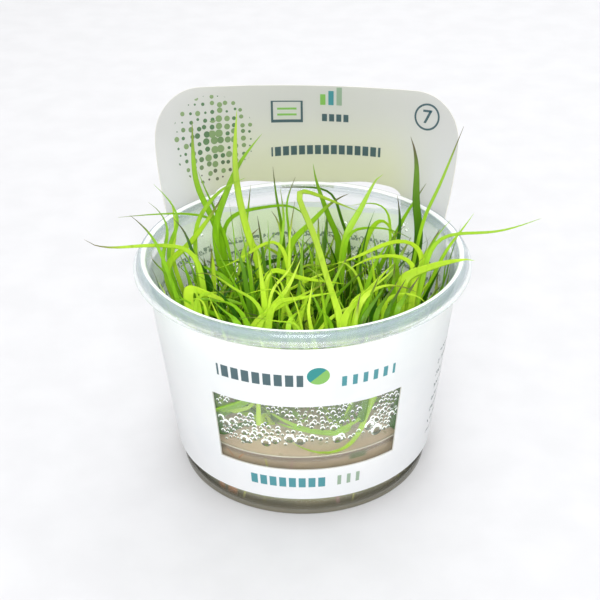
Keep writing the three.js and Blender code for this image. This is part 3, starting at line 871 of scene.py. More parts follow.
# Bearing, lean, half width, low end and top of each root that shows at the gel's side
ROOTS = [
    (222.5, 0.1, 1.5, 2.5, 6.5, ROOT_ORANGE),
    (217.0, -0.2, 2.2, 2.5, 8.5, ROOT_ORANGE),
    (211.0, -0.3, 0.5, 2.0, 8.0, ROOT_YELLOW),
    (196.0, 0.15, 0.4, 11.0, 20.0, ROOT_YELLOW),
    (188.0, -0.1, 0.35, 12.0, 20.5, ROOT_PINK),
    (166.2, 0.1, 0.8, 2.0, 6.5, ROOT_PINK),
    (159.5, -0.1, 0.4, 1.5, 7.0, ROOT_YELLOW),
    (158.5, 0.0, 3.4, 19.9, 21.2, ROOT_GREEN),
    (213.5, 0.9, 0.5, 18.6, 20.2, ROOT_ORANGE),
    (210.5, -0.8, 0.45, 18.6, 20.0, ROOT_ORANGE),
    (132.0, 0.2, 0.5, 3.0, 14.0, ROOT_YELLOW),
    (98.0, -0.15, 0.5, 4.0, 16.0, ROOT_PINK),
    (62.0, 0.2, 0.6, 3.0, 12.0, ROOT_YELLOW),
    (25.0, -0.1, 0.5, 4.0, 15.0, ROOT_ORANGE),
    (328.0, 0.2, 0.6, 3.0, 13.0, ROOT_YELLOW),
    (282.0, -0.2, 0.5, 4.0, 15.0, ROOT_PINK),
    (248.0, 0.15, 0.5, 3.0, 12.0, ROOT_YELLOW),
]


def gel_profile():
    rim = GEL_TOP + MENISCUS
    top_radius = inner_radius(GEL_TOP) - GEL_GAP
    side = [(inner_radius(height) - GEL_GAP, height) for height in (2.4, 6, 10, 14, 18, rim - 0.1)]
    wet_edge = [(top_radius - 0.15, rim), (top_radius - 0.9, GEL_TOP + 0.12), (top_radius - 3, GEL_TOP)]
    surface = flowing([*wet_edge, (20, GEL_TOP)])
    foot = [(0, GEL_BOTTOM), (35.6, GEL_BOTTOM), (36.6, 1.4)]
    return [*foot, *side, *surface, (8, GEL_TOP), (0, GEL_TOP)]


def gel_finish():
    web = Finish("growing gel")
    x, y, height = web.parts(web.place())
    cloud = web.noise(45.0, 3.0)
    streak = web.noise(420.0, 2.0, web.vector_maths("MULTIPLY", web.place(), (1.0, 1.0, 0.12)))
    out = (x * x + y * y).maths("SQRT") - height * CUP_TAPER
    side = web.rise(out, INNER_FOOT - 0.45, INNER_FOOT - 0.2)
    level = height - x * GEL_TILT
    low_tone = web.mix(web.smooth(cloud, 0.35, 0.65), *GEL_LOW)
    tone = web.mix(web.rise(height, 8, 17), low_tone, web.mix(web.patchy(cloud), *GEL_HIGH))
    # Each share of a tone goes over what is there
    for share, over in (
        # Painted shade: a dark band on the side just under the gel's level
        (web.rise(level, GEL_TOP - 2.2, GEL_TOP - 0.3) * side * 0.7, UNDER_LINE_SHADE),
        # Painted light: the top surface is painted lighter than the side, as where light falls on it from
        # above
        (web.rise(height, GEL_TOP - 1, GEL_TOP - 0.8) * (1 - side), GEL_SURFACE_LIT),
        # Painted highlight: a pale line at the gel's level, where it wets the wall
        (web.rise(level, GEL_TOP + 0.15, GEL_TOP + 0.3) * 0.7, GEL_LINE_HIGHLIGHT),
        (web.smooth(streak, 0.6, 0.75) * 0.35, STREAK_TONE),
        (web.rise(height, 4.6, 5.6) * web.fall(height, 7.0, 8.0) * 0.45, BAND_TONE),
    ):
        tone = web.mix(share, tone, over)
    for bearing, lean, half_width, low, top, ink in ROOTS:
        sin, cos = math.sin(math.radians(bearing)), math.cos(math.radians(bearing))
        aside = abs(x * cos - y * sin - (height - low * MM) * lean)
        here = web.fall(aside, half_width * 0.5, half_width) * side * (x * sin + y * cos > 0.0)
        ends = web.rise(height, low - 0.5, low) * web.fall(height, top, top + 1.0)
        tone = web.mix(here * ends * 0.8, tone, ink)
    return web.done(web.plastic(Base_Color=tone, Roughness=0.22, Normal=web.bump(cloud, 0.6 * MM, 0.3),
                                Coat_Weight=0.4, Coat_Roughness=0.08))


gel = turned("gel_layer", gel_profile(), GEL_SIDES, gel_finish())
for corner in gel.data.vertices:
    if corner.co.z > (GEL_TOP - 1) * MM:
        corner.co.z += corner.co.x * GEL_TILT

# %% [markdown]
# A rush leaf is a narrow blade with a soft fold, which tapers to a point. Leaves could be modelled one at a
# time, but they all follow one rule, so Geometry Nodes draw them: a small folded section is swept along a
# line, and its width follows the line's length. The leaves that can be told apart run through listed points.
# The rest grow by chance from each plantlet's crown, bend over, and slide along the cup's wall.

# %% Plantlets and their leaves
CROWNS = {
    "left": (-27, 6),
    "back_left": (-18, 22),
    "back": (-3, 28),
    "back_right": (14, 25),
    "right": (28, 10),
    "front_right": (27, -12),
    "front": (9, -24),
    "front_left": (-10, -22),
    "side_left": (-27, -11),
    "middle_left": (-9, 4),
    "middle_right": (9, 3),
}
# Width, shade and the points that each leaf runs through, in millimetres. The shade goes from light to deep
# green: partly the leaf's own colour, partly painted light and shade, deeper for leaves that stand in shadow
LEAVES = {}
LEAVES["left"] = [
    (1.3, 0.3, (-32, 10, 67), (-26, 8, 82), (-21, 4, 88), (-16, 0, 92)),
    (1.3, 0.45, (-40, 8, 61), (-36, 8, 74), (-38, 8, 81), (-43, 8, 87)),
    (1.3, 0.4, (-41, 2, 61), (-39, 2, 73), (-40, 0, 81), (-44, 0, 85)),
    (1.3, 1.0, (-27, -2, 58), (-32, 0, 67), (-34, 4, 73), (-38, 6, 77)),
    (1.4, 0.15, (-39, 12, 59), (-38, 14, 66), (-38, 16, 72), (-39, 16, 78)),
    (2.0, 0.2, (-41, 6, 58), (-34, 7, 67), (-25, 8, 79), (-23, 9, 83)),
]
LEAVES["back_left"] = [
    (1.9, 0.45, (-26, 14, 65), (-22, 14, 81), (-18, 13, 91), (-11, 13, 100)),
    (2.0, 0.4, (-24, 20, 59), (-27, 18, 72), (-31, 14, 85), (-31, 12, 105)),
    (1.0, 0.6, (-25, 24, 66), (-28, 24, 75), (-31, 26, 83)),
    (0.9, 0.4, (-23, 17, 65), (-29, 13, 74), (-40, 9, 77), (-54, 7, 77)),
    (1.2, 0.5, (-24, 26, 59), (-21, 26, 68), (-12, 26, 70), (-2, 24, 72), (2, 22, 69), (5, 20, 62)),
]
LEAVES["back"] = [
    (1.0, 0.35, (-16, 30, 57), (-16, 31, 67), (-15, 32, 75)),
    (1.1, 0.7, (-5, 28, 57), (-7, 30, 71), (-8, 30, 82)),
    (1.0, 0.5, (-3, 30, 56), (-4, 32, 68), (-1, 33, 77)),
    (2.0, 0.6, (12, 22, 55), (9, 20, 69), (5, 18, 82), (4, 18, 88)),
]
LEAVES["back_right"] = [
    (1.1, 0.8, (16, 28, 54), (13, 30, 64), (11, 32, 72), (4, 34, 73), (-6, 34, 73)),
    (1.8, 0.25, (20, 20, 59), (25, 18, 70), (28, 16, 66), (30, 14, 62)),
    (1.3, 0.55, (31, 24, 63), (35, 24, 71), (39, 24, 78)),
]
LEAVES["right"] = [
    (1.0, 0.3, (28, 20, 63), (27, 22, 71), (22, 24, 72), (16, 24, 71)),
    (1.3, 1.0, (30, 18, 58), (31, 20, 66), (30, 22, 75)),
    (2.4, 0.85, (36, 14, 62), (35, 16, 75), (35, 17, 89), (33, 18, 96)),
    (1.0, 0.35, (36, 8, 71), (40, 8, 82), (44, 8, 94), (47, 8, 103)),
    (1.1, 0.3, (40, 0, 61), (44, 0, 68), (47, 0, 74), (50, 0, 79)),
]
LEAVES["front_right"] = [
    (1.0, 0.6, (36, -6, 67), (39, -4, 74), (43, -2, 78)),
    (1.3, 0.3, (35, -8, 63), (38, -6, 74), (46, -4, 75), (57, -4, 75), (69, -4, 79)),
    (3.2, 0.15, (28, -14, 64), (32, -13, 67), (37, -12, 69), (42, -12, 70), (48, -12, 71), (49, -12, 70)),
    (1.8, 0.0, (35, -6, 65), (35, -4, 69), (32, -4, 73), (29, -5, 74), (23, -6, 73), (16, -8, 70),
     (8, -9, 68)),
    (1.8, 0.0, (32, -12, 63), (32, -10, 69), (29, -10, 71), (22, -11, 72), (16, -13, 71), (12, -15, 69)),
    (1.7, 0.1, (22, -24, 62), (26, -25, 67), (31, -25, 67), (34, -26, 64)),
    (3.0, 0.2, (32, -8, 60), (34, -6, 63), (37, -4, 70), (40, -3, 76)),
    (2.0, 0.7, (19, -32, 62), (22, -28, 67), (26, -24, 71)),
    (1.9, 0.8, (22, -31, 62), (24, -28, 66), (28, -24, 71)),
    (2.1, 0.65, (25, -29, 62), (28, -25, 66), (32, -21, 70)),
]
LEAVES["front"] = [
    (2.2, 0.1, (10, -34, 62), (7, -26, 70), (4, -16, 79), (1, -12, 86), (-3, -11, 95), (5, -9, 90),
     (12, -7, 86), (17, -6, 83)),
    (2.4, 0.1, (10, -34, 64), (13, -31, 67), (17, -28, 70), (21, -25, 73), (25, -23, 76)),
    (0.8, 0.2, (-2, -37, 64), (-5, -36, 65), (-11, -34, 65), (-15, -33, 66), (-19, -32, 64)),
    (0.8, 0.0, (-6, -24, 65), (-8, -24, 69), (-12, -24, 69), (-15, -24, 68), (-18, -24, 67)),
    (1.4, 0.0, (1, -34, 64), (1, -31, 68), (2, -28, 73)),
    (2.0, 0.25, (-5, -36, 62), (-2, -32, 66), (1, -28, 67)),
    (1.6, 0.1, (12, -30, 64), (15, -27, 68), (21, -25, 71), (25, -24, 75)),
    (1.7, 0.05, (14, -32, 66), (18, -30, 71), (21, -28, 72), (26, -27, 71), (31, -26, 68)),
    (1.6, 0.2, (13, -36, 62), (14, -33, 68), (15, -31, 71)),
    (2.0, 0.75, (15, -34, 62), (18, -30, 66), (22, -26, 70)),
]
LEAVES["front_left"] = [
    (2.0, 0.0, (-11, -16, 69), (-4, -15, 68), (1, -15, 67), (6, -15, 66), (12, -15, 65)),
    (1.2, 0.2, (-12, -26, 63), (-20, -22, 68), (-25, -18, 71), (-31, -14, 69)),
    (1.9, 0.1, (-10, -28, 64), (-2, -28, 68), (9, -30, 71)),
    (2.0, 0.1, (-10, -24, 52), (-11, -24, 61), (-12, -23, 73), (-13, -20, 79)),
    (1.5, 0.05, (-16, -27, 57), (-4, -26, 66), (3, -24, 69), (8, -23, 71)),
    (1.8, 0.0, (-14, -27, 56), (-5, -23, 68), (-1, -20, 76)),
    (1.0, 0.0, (-10, -26, 66), (-5, -20, 71), (-3, -17, 73), (-2, -14, 75)),
    (2.3, 0.45, (-18, -32, 61), (-22, -28, 64), (-26, -24, 66)),
    (0.8, 0.0, (-6, -18, 62), (-6, -16, 67), (-8, -15, 68), (-11, -14, 68), (-13, -12, 69)),
    (0.9, 0.0, (-11, -20, 66), (-10, -18, 72), (-6, -18, 71), (-2, -18, 69), (1, -18, 67)),
    (1.1, 0.05, (-4, -10, 68), (-4, -6, 74), (-3, -4, 80), (-2, -3, 86)),
]
LEAVES["side_left"] = [
    (1.2, 0.5, (-38, -8, 62), (-42, -6, 75), (-45, -6, 80), (-49, -6, 84)),
    (1.6, 0.2, (-30, -6, 68), (-38, -4, 73), (-51, -4, 73), (-59, -3, 72), (-63, -3, 75)),
    (3.4, 0.0, (-33, -16, 64), (-30, -17, 65), (-25, -20, 65), (-19, -23, 63)),
    (1.6, 0.1, (-30, -18, 59), (-30, -18, 64), (-32, -18, 68)),
    (1.2, 0.0, (-28, -20, 60), (-30, -20, 65), (-33, -20, 63)),
    (1.3, 0.2, (-31, -19, 59), (-30, -19, 65), (-24, -20, 66), (-19, -21, 67)),
]
LEAVES["middle_left"] = [
    (2.3, 0.15, (-12, 4, 58), (-16, 6, 72), (-19, 10, 90), (-18, 12, 108)),
    (1.1, 0.4, (-7, 8, 61), (-5, 12, 71), (-6, 14, 82)),
    (2.3, 0.35, (-4, 12, 62), (2, 14, 69), (9, 18, 75), (15, 20, 77)),
    (1.3, 0.0, (-4, -6, 62), (-5, -5, 69), (-7, -4, 75), (-13, -4, 72), (-18, -4, 68), (-25, -4, 65)),
    (1.9, 0.85, (-17, -6, 58), (-16, -2, 63), (-14, 2, 69)),
    (1.8, 0.8, (-10, -4, 57), (-11, 0, 63), (-12, 6, 70), (-13, 8, 76)),
]
LEAVES["middle_right"] = [
    (2.2, 0.3, (13, 8, 66), (17, 12, 73), (22, 16, 82), (23, 17, 84), (25, 18, 84)),
    (1.2, 0.4, (13, 4, 69), (19, 6, 72), (26, 6, 72), (33, 6, 68)),
]

# %% [markdown]
# Some leaves lie flat against the inside of the cup and show through the card's window. They are given by
# their bearing round the cup, in degrees from the back, and their height.

# %% Leaves on the cup's wall
# Width, shade, and bearing and height of each point. The shade is partly the leaf's own colour and partly
# painted light and shade
WALL_LEAVES = {}
WALL_LEAVES["front_right"] = [
    # Painted shadow: a dark leaf along the window's right edge stands in for the shadow of the card's edge
    (1.6, 0.95, (141, 24.5), (140.2, 31), (139.6, 38), (139.2, 48)),
]
WALL_LEAVES["front"] = [
    (2.0, 0.3, (161, 30.8), (167, 31), (172, 31), (177.5, 32), (183, 33.5), (189, 35.5), (193.5, 37.5),
     (198, 39.5)),
    (1.4, 0.35, (163, 30.2), (172, 30.4), (177, 31.4), (182, 32.3), (188, 33.5), (193, 34.5), (196, 37)),
    (1.2, 0.3, (169, 31.6), (163.5, 32.5), (159.5, 33.5), (154, 37), (150, 43)),
    (1.5, 0.25, (153, 50), (153.5, 40.5), (155, 36), (157, 32), (158, 29), (159.5, 25.8), (162.5, 23.6),
     (167, 22.8), (172.5, 22.6), (177.5, 23.2), (181, 24.5), (185, 26.5), (189, 29)),
    (2.2, 0.75, (158.5, 32.5), (157.5, 37), (156.5, 41), (155.5, 50)),
    (1.7, 0.3, (160.5, 48), (162.5, 41.5), (164, 38.5), (165.5, 35.5)),
]
WALL_LEAVES["front_left"] = [
    (4.0, 0.4, (224, 31), (219.5, 33.5), (216, 35.5), (211.5, 37.5), (207.5, 39.5), (202, 42.5),
     (197, 45)),
    (1.8, 0.2, (214, 34.5), (209.5, 36.5), (205, 38), (202, 40), (199, 45)),
    (1.3, 0.1, (200, 31.5), (200, 35), (199.5, 39), (199.5, 50)),
    # Painted shadow: a dark leaf along the window's left edge stands in for the shadow of the card's edge
    (2.2, 0.95, (219.2, 25), (219.6, 31), (220, 38), (220.4, 48)),
]
WALL_SPACE = 0.75
LEAF_FOOT = 22.6
LEAF_FOOT_SPREAD = 1.2
ROUTE_STEPS = 12
WALL_SHOULDER = 0.55
WALL_CLEARANCE = 1.6


def on_wall(bearing, height):
    return at_bearing(inner_radius(height) - WALL_SPACE, bearing, height)


def foot_of(crown, towards):
    """A leaf's foot stands on its own side of the crown, towards where the leaf goes."""
    x, y = CROWNS[crown]
    way = Vector((towards[0] - x, towards[1] - y)).normalized() * LEAF_FOOT_SPREAD
    return (x + way.x, y + way.y, LEAF_FOOT)


def inside_wall(point):
    """Below the rim a point is drawn in until it is clear of the cup's wall."""
    x, y, height = point
    reach = math.hypot(x, y)
    room = inner_radius(min(height, RIM_LOWER_EDGE)) - WALL_CLEARANCE
    share = min(1.0, room / reach) if height < RIM_TOP + 1 else 1.0
    return (x * share, y * share, height)


def wall_route(crown, places):
    """From the crown up and over to the wall, then along it."""
    points = [on_wall(*place) for place in places]
    foot = foot_of(crown, points[0])
    shoulder = [mid(low, high, WALL_SHOULDER) for low, high in zip(foot, points[0])]
    shoulder[2] = max(points[0][2] + 1.0, foot[2] + 3.0)
    return [foot, tuple(shoulder), *points]


def leaf_lines(crown):
    """The routes of one plantlet's own leaves as a curve object. Radius is half width, tilt is shade."""
    curve = bpy.data.curves.new("leaf lines", "CURVE")
    curve.dimensions = "3D"
    routes = [(width, shade, [foot_of(crown, points[0]), *map(inside_wall, points)])
              for width, shade, *points in LEAVES[crown]]
    routes += [(width, shade, wall_route(crown, places))
               for width, shade, *places in WALL_LEAVES.get(crown, [])]
    for width, shade, points in routes:
        line = flowing(points, ROUTE_STEPS)
        spline = curve.splines.new("POLY")
        spline.points.add(len(line) - 1)
        for slot, point in zip(spline.points, line):
            slot.co = (*[value * MM for value in point], 1.0)
            slot.radius = width / 2 * MM
            slot.tilt = shade
    return placed("leaf lines " + crown, curve), len(routes)


# %% [markdown]
# The leaf tree has three stretches: it grows chance leaves from the crown, it joins them to the given lines,
# and it sweeps one folded section along all of them. Each leaf keeps its own chance number and each
# point its share of the length, and the finish turns them into colour.

# %% Leaf tree
LEAF_STEPS = 32
CHANCE_STEPS = 16
RELAX_STEPS = 3
BEND_OUT = 0.9
SWAY_WAVES = 5.0
MOUTH_SPREAD = 0.35
TURN = 0.25
WILD_TURN = 1.1
TWIST = 0.8
FOOT_WIDTH = 0.8
SWELL = 1.3
POINT_POWER = 7.0
WILD_POINT = 3.0
LEAST_WIDTH = 0.00004
SECTION_SIDES = 8


def new_tree(name, whole, sizes):
    """A tree with named inputs: whole numbers, sizes with their usual values, and a material."""
    tree = bpy.data.node_groups.new(name, "GeometryNodeTree")
    labels = [("Geometry", "INPUT", "Geometry"), ("Geometry", "OUTPUT", "Geometry")]
    labels += [(label, "INPUT", "Int") for label in whole]
    labels += [*[(label, "INPUT", "Float") for label in sizes], ("Material", "INPUT", "Material")]
    for label, way, kind in labels:
        socket = tree.interface.new_socket(label, in_out=way, socket_type="NodeSocket" + kind)
        if label in sizes:
            socket.default_value = sizes[label]
    web = Web(tree)
    return tree, web, web.node("NodeGroupInput")


def close_tree(web, geometry, given):
    """The geometry gets its material and leaves the tree."""
    ready = web.add("SetMaterial", {"Geometry": geometry, "Material": given.out("Material")})
    web.node("NodeGroupOutput", {"Geometry": ready})


def smooth_and_real(web, geometry):
    return web.add("RealizeInstances", {"Geometry": web.add("SetShadeSmooth", {"Geometry": geometry})})


def position(web):
    return web.parts(web.add("InputPosition"))


def moved(web, geometry, place):
    return web.add("SetPosition", {"Geometry": geometry, "Position": place})


def keep(web, geometry, name, value, domain="POINT"):
    sockets = {"Geometry": geometry, "Name": name, "Value": value}
    return web.add("StoreNamedAttribute", sockets, data_type="FLOAT", domain=domain)


def kept(web, name):
    return web.add("InputNamedAttribute", {"Name": name}, "Attribute", data_type="FLOAT")


def chance_of(web, low, high, seed, salt):
    sockets = {"Min": low, "Max": high, "ID": web.add("InputIndex"), "Seed": seed + salt}
    return web.node("FunctionNodeRandomValue", sockets, "Value", data_type="FLOAT")


def chance_leaves(web, given):
    """Leaves that grow by chance: a straight line for each, bent by its own numbers."""
    crown_x, crown_y = given.out("Crown X"), given.out("Crown Y")
    foot, rim = given.out("Leaf Foot"), given.out("Rim Height")
    crown = web.vector(crown_x, crown_y, foot)
    points = web.add("Points", {"Count": given.out("Leaf Count"), "Position": crown})
    ranges = {
        "heading": (0.0, 2 * math.pi),
        "lean": (given.out("Least Lean"), given.out("Most Lean")),
        "reach": (given.out("Shortest"), given.out("Longest")),
        "droop": (0.0, given.out("Most Droop")),
        "sway": (-0.08, 0.08),
        "phase": (0.0, 2 * math.pi),
        "kink": (0.35, 1.6),
        "half": (given.out("Narrowest"), given.out("Widest")),
        "tone": (0.0, 0.95),
    }
    points = keep(web, points, "wild", 1.0)
    for salt, (name, (low, high)) in enumerate(ranges.items()):
        points = keep(web, points, name, chance_of(web, low, high, given.out("Seed"), salt))
    stick = web.add("CurvePrimitiveLine", {"End": (0.0, 0.0, 1.0)})
    stick = web.add("ResampleCurve", {"Curve": stick, "Count": CHANCE_STEPS})
    sticks = web.add("InstanceOnPoints", {"Points": points, "Instance": stick})
    sticks = web.add("RealizeInstances", {"Geometry": sticks})
    share = web.add("SplineParameter")
    ranges.pop("tone")
    heading, lean, reach, droop, sway, phase, kink, half = [kept(web, name) for name in ranges]
    sin, cos = heading.maths("SINE"), heading.maths("COSINE")
    bent = web.smooth(share, kink * 0.5, kink) * share
    out = reach * (lean.maths("SINE") * share + bent * droop * BEND_OUT)
    up = reach * (lean.maths("COSINE") * share - bent * droop)
    aside = reach * sway * (share * SWAY_WAVES + phase).maths("SINE") * share
    x = crown_x + cos * out - sin * aside
    y = crown_y + sin * out + cos * aside
    height = (foot + up).maths("MAXIMUM", foot)
    room = given.out("Wall Radius") + given.out("Wall Taper") * height.maths("MINIMUM", rim)
    room = room + (height - rim).maths("MAXIMUM", 0.0) * MOUTH_SPREAD
    held = (room / (x * x + y * y).maths("SQRT")).maths("MINIMUM", 1.0)
    bent_sticks = moved(web, sticks, web.vector(x * held, y * held, height))
    return web.add("SetCurveRadius", {"Curve": bent_sticks, "Radius": half})


def sweep_blades(web, lines, given):
    """Sweeps a folded section along the lines. The blade is widest below its middle and ends in a point."""
    seed, wild = given.out("Seed"), kept(web, "wild")
    lines = keep(web, lines, "along", web.add("SplineParameter"))
    turn = chance_of(web, -TURN, TURN, seed, 22) + wild * chance_of(web, -WILD_TURN, WILD_TURN, seed, 23)
    lines = keep(web, lines, "turn", turn, "CURVE")
    along, turn = kept(web, "along"), kept(web, "turn")
    swell = FOOT_WIDTH + SWELL * along - SWELL * along * along
    width = web.add("InputRadius") * swell * (1 - along ** (POINT_POWER - wild * WILD_POINT))
    twist = turn + along * turn * TWIST
    towards = web.vector(0.2 + twist.maths("SINE"), twist.maths("COSINE"), 0.25)
    across = web.vector_maths("CROSS_PRODUCT", web.add("InputTangent"), towards)
    across = web.vector_maths("NORMALIZE", across)
    lines = web.add("SetCurveNormal", {"Curve": lines, "Normal": across}, mode="FREE")
    section = web.add("CurvePrimitiveCircle", {"Resolution": SECTION_SIDES, "Radius": 1.0}, mode="RADIUS")
    x, y = position(web)[:2]
    folded = web.vector(x, x * x * given.out("Fold") + y * given.out("Thickness"), 0.0)
    sockets = {
        "Curve": lines, "Profile Curve": moved(web, section, folded),
        "Scale": width.maths("MAXIMUM", LEAST_WIDTH), "Fill Caps": True,
    }
    return web.add("CurveToMesh", sockets)


def build_leaf_tree():
    sizes = {
        "Crown X": 0.0, "Crown Y": 0.0, "Leaf Foot": LEAF_FOOT * MM, "Least Lean": 0.05, "Most Lean": 0.75,
        "Shortest": 0.032, "Longest": 0.056, "Most Droop": 0.42, "Narrowest": 0.0006, "Widest": 0.0014,
        "Wall Radius": (CUP_BASE_RADIUS - CUP_WALL - 1.2) * MM, "Wall Taper": CUP_TAPER,
        "Rim Height": RIM_LOWER_EDGE * MM, "Fold": 0.35, "Thickness": 0.16,
    }
    tree, web, given = new_tree("rush leaves", ("Seed", "Leaf Count"), sizes)
    named = web.add("ResampleCurve", {"Curve": given, "Count": LEAF_STEPS})
    place = {"Value": web.add("InputPosition"), "Iterations": RELAX_STEPS}
    relaxed = web.add("BlurAttribute", place, data_type="FLOAT_VECTOR")
    inner = web.node("FunctionNodeBooleanMath", {0: web.add("CurveEndpointSelection")}, operation="NOT")
    named = web.add("SetPosition", {"Geometry": named, "Selection": inner, "Position": relaxed})
    named = keep(web, named, "tone", web.add("InputCurveTilt"))
    named = web.add("SetCurveTilt", {"Curve": named, "Tilt": 0.0})
    lines = web.add("JoinGeometry")
    for part in (named, chance_leaves(web, given)):
        tree.links.new(part.socket, lines.socket.node.inputs[0])
    close_tree(web, smooth_and_real(web, sweep_blades(web, lines, given)), given)
    return tree


def grown(source, tree, values, name):
    """Runs a tree on an object and gives its result as a plain mesh object of that name."""
    modifier = source.modifiers.new("grow", "NODES")
    modifier.node_group = tree
    for item in tree.interface.items_tree:
        if item.item_type == "SOCKET" and item.in_out == "INPUT" and item.name in values:
            modifier[item.identifier] = values[item.name]
    graph = bpy.context.evaluated_depsgraph_get()
    mesh = bpy.data.meshes.new_from_object(source.evaluated_get(graph))
    mesh.name = name
    bpy.data.objects.remove(source)
    return placed(name, mesh)


# %% [markdown]
# Leaves are satin, thin enough to let light through, and bright yellow-green where the light reaches them.
# The chance leaves are painted darker low down, a painted shade for where they crowd, upper stretches are
# duller, and tips dry to a greyish purple brown. The colour is mixed from the leaf's own chance number, or a
# placed leaf's given shade, which is partly painted light and shade, and the share along it, with fine lines
# that run the length of the blade.

# %% Leaf finish
LEAF_LIGHT = colour(226, 250, 80)
LEAF_MIDDLE = colour(170, 222, 46)
LEAF_DEEP = colour(50, 116, 12)
LEAF_GLOW = colour(238, 250, 136)
LEAF_DULL = colour(152, 184, 88)
LEAF_TIP = colour(112, 84, 92)


def leaf_finish():
    web = Finish("rush leaf")
    along, tone, wild = [web.attribute(name) for name in ("along", "tone", "wild")]
    height = web.parts(web.place())[2]
    streaks = web.noise(700.0, 2.0, web.vector_maths("MULTIPLY", web.place(), (1.0, 1.0, 0.15)))
    patches = web.noise(60.0, 2.0)
    dry = web.smooth((tone * 13.7).maths("FRACT"), 0.35, 0.6)
    green = web.mix(web.smooth(tone, 0.0, 0.5), LEAF_LIGHT, LEAF_MIDDLE)
    # Each share of a tone goes over what is there
    for share, over in (
        (web.smooth(tone + patches * 0.2, 0.55, 1.05), LEAF_DEEP),
        # Painted shade: chance leaves are darker low down in the tuft, where they crowd
        (web.fall(height, 30, 56, 0.75) * wild, LEAF_DEEP),
        (web.smooth(streaks, 0.5, 0.8) * 0.25, LEAF_DEEP),
        (web.rise(height, 66, 88) * 0.5, LEAF_DULL),
        (web.smooth(along, 0.84, 0.97) * dry * 0.85, LEAF_TIP),
    ):
        green = web.mix(share, green, over)
    face = web.plastic(Base_Color=green, Roughness=web.patchy(patches, 0.3, 0.45),
                       Normal=web.bump(streaks, 0.05 * MM, 0.4))
    through = web.add("BsdfTranslucent", {"Color": web.mix(0.25, green, LEAF_GLOW)})
    return web.done(web.blend(0.5, face, through))


# %% Grow the plantlets
BACK_LEAVES = 24
FRONT_LEAVES = 58
BACK_LONGEST = 0.048
FRONT_LONGEST = 0.066
BACK_CROWN = 28
CROWN_DEPTH = 50
SEED = 7
SEED_STEP = 100

leaf_tree = build_leaf_tree()
leaf_material = leaf_finish()
plantlets = {}
for order, (crown, (crown_x, crown_y)) in enumerate(CROWNS.items()):
    lines, named_count = leaf_lines(crown)
    forward = ease((BACK_CROWN - crown_y) / CROWN_DEPTH)
    leaf_count = round(mid(BACK_LEAVES, FRONT_LEAVES, forward))
    values = {
        "Seed": SEED + SEED_STEP * order, "Leaf Count": leaf_count, "Crown X": crown_x * MM,
        "Crown Y": crown_y * MM, "Longest": mid(BACK_LONGEST, FRONT_LONGEST, forward),
        "Material": leaf_material,
    }
    plantlets[crown] = grown(lines, leaf_tree, values, "rush_" + crown)
    faces = len(plantlets[crown].data.polygons)
    print("plantlet", crown, "has", named_count, "placed leaves and", faces, "faces")

# %% [markdown]
# The closed cup was warm and wet inside, so drops of water hang on its wall. They are a surface scatter:
# points fall on the wall by chance, no nearer to each other than a drop's width, and each gets a half dome
# of water. They crowd behind the window and are sparse elsewhere. Low down they have run together and are
# bigger.

# %% Water drops
DROP_SEED = 5
DROP_BITE = 0.06
DROPS_FROM = 24.6
DROPS_TO = 62.0
DROP_COLUMNS = 300
DROP_ROWS = 48
DROP_SIDES = 12
DROP_RINGS = 4
DROP_HEIGHT = 0.55
WATER_TINT = colour(214, 220, 208)
WATER_SHADE = (0.97, 0.98, 0.98)
GLINT_TONE = colour(252, 253, 250)
GLINT_GLOW = (1.0, 1.0, 0.97, 1.0)
GLINT_POWER = 0.35
WINDOW_EDGE_ANGLE = 42.0
LEAF_CLEARANCE = 0.2
SPARSE = 0.3
RARE = 0.02
LOWEST_DROPS = (26.8, 24.2)
# Start and run of two gradual changes: up from the window's top,
# and round to the left
FADE_HEIGHTS = (-4, 9)
LOWEST_TURN = (198, 10)
CROWDING_RUN = 2.5


def wall_lines():
    """The leaves on the wall as points on the unrolled wall, each with its half width."""
    return [
        (math.radians(bearing) * inner_radius(SHEET_LEVEL), height, width / 2)
        for rows in WALL_LEAVES.values() for width, shade, *places in rows
        for bearing, height in flowing(places, 8)
    ]


def drop_density(bearing, height, lines):
    """Drops crowd behind the window, leave the leaves clear, and are few elsewhere."""
    fade_start, fade_run = FADE_HEIGHTS
    if height > WINDOW_TOP + 2:
        return SPARSE * (1 - ease((height - WINDOW_TOP - fade_start) / fade_run)) + RARE
    if abs(bearing - 180) > WINDOW_EDGE_ANGLE:
        return SPARSE
    along = math.radians(bearing) * inner_radius(SHEET_LEVEL)
    room = min(math.hypot(along - x, height - y) - half for x, y, half in lines)
    if room < LEAF_CLEARANCE:
        return 0.0
    turn_start, turn_run = LOWEST_TURN
    lowest = mid(*LOWEST_DROPS, ease((bearing - turn_start) / turn_run))
    return ease((height - lowest) / CROWDING_RUN)


def drop_ground(material):
    """The cup's inner wall above the gel, facing the axis, with the drops' density on it."""
    columns, rows = DROP_COLUMNS, DROP_ROWS
    lines = wall_lines()
    points = []
    density = []
    for row in range(rows + 1):
        height = mid(DROPS_FROM, DROPS_TO, row / rows)
        for column in range(columns):
            bearing = 360 * column / columns
            points.append(at_bearing(inner_radius(height) + DROP_BITE, bearing, height))
            density.append(drop_density(bearing, height, lines))
    faces = []
    for row in range(rows):
        for column in range(columns):
            after = (column + 1) % columns
            low, high = row * columns, (row + 1) * columns
            faces.append((low + column, low + after, high + after, high + column))
    ground = make_object("drop ground", points, faces, material)
    layer = ground.data.attributes.new("density", "FLOAT", "POINT")
    layer.data.foreach_set("value", density)
    return ground


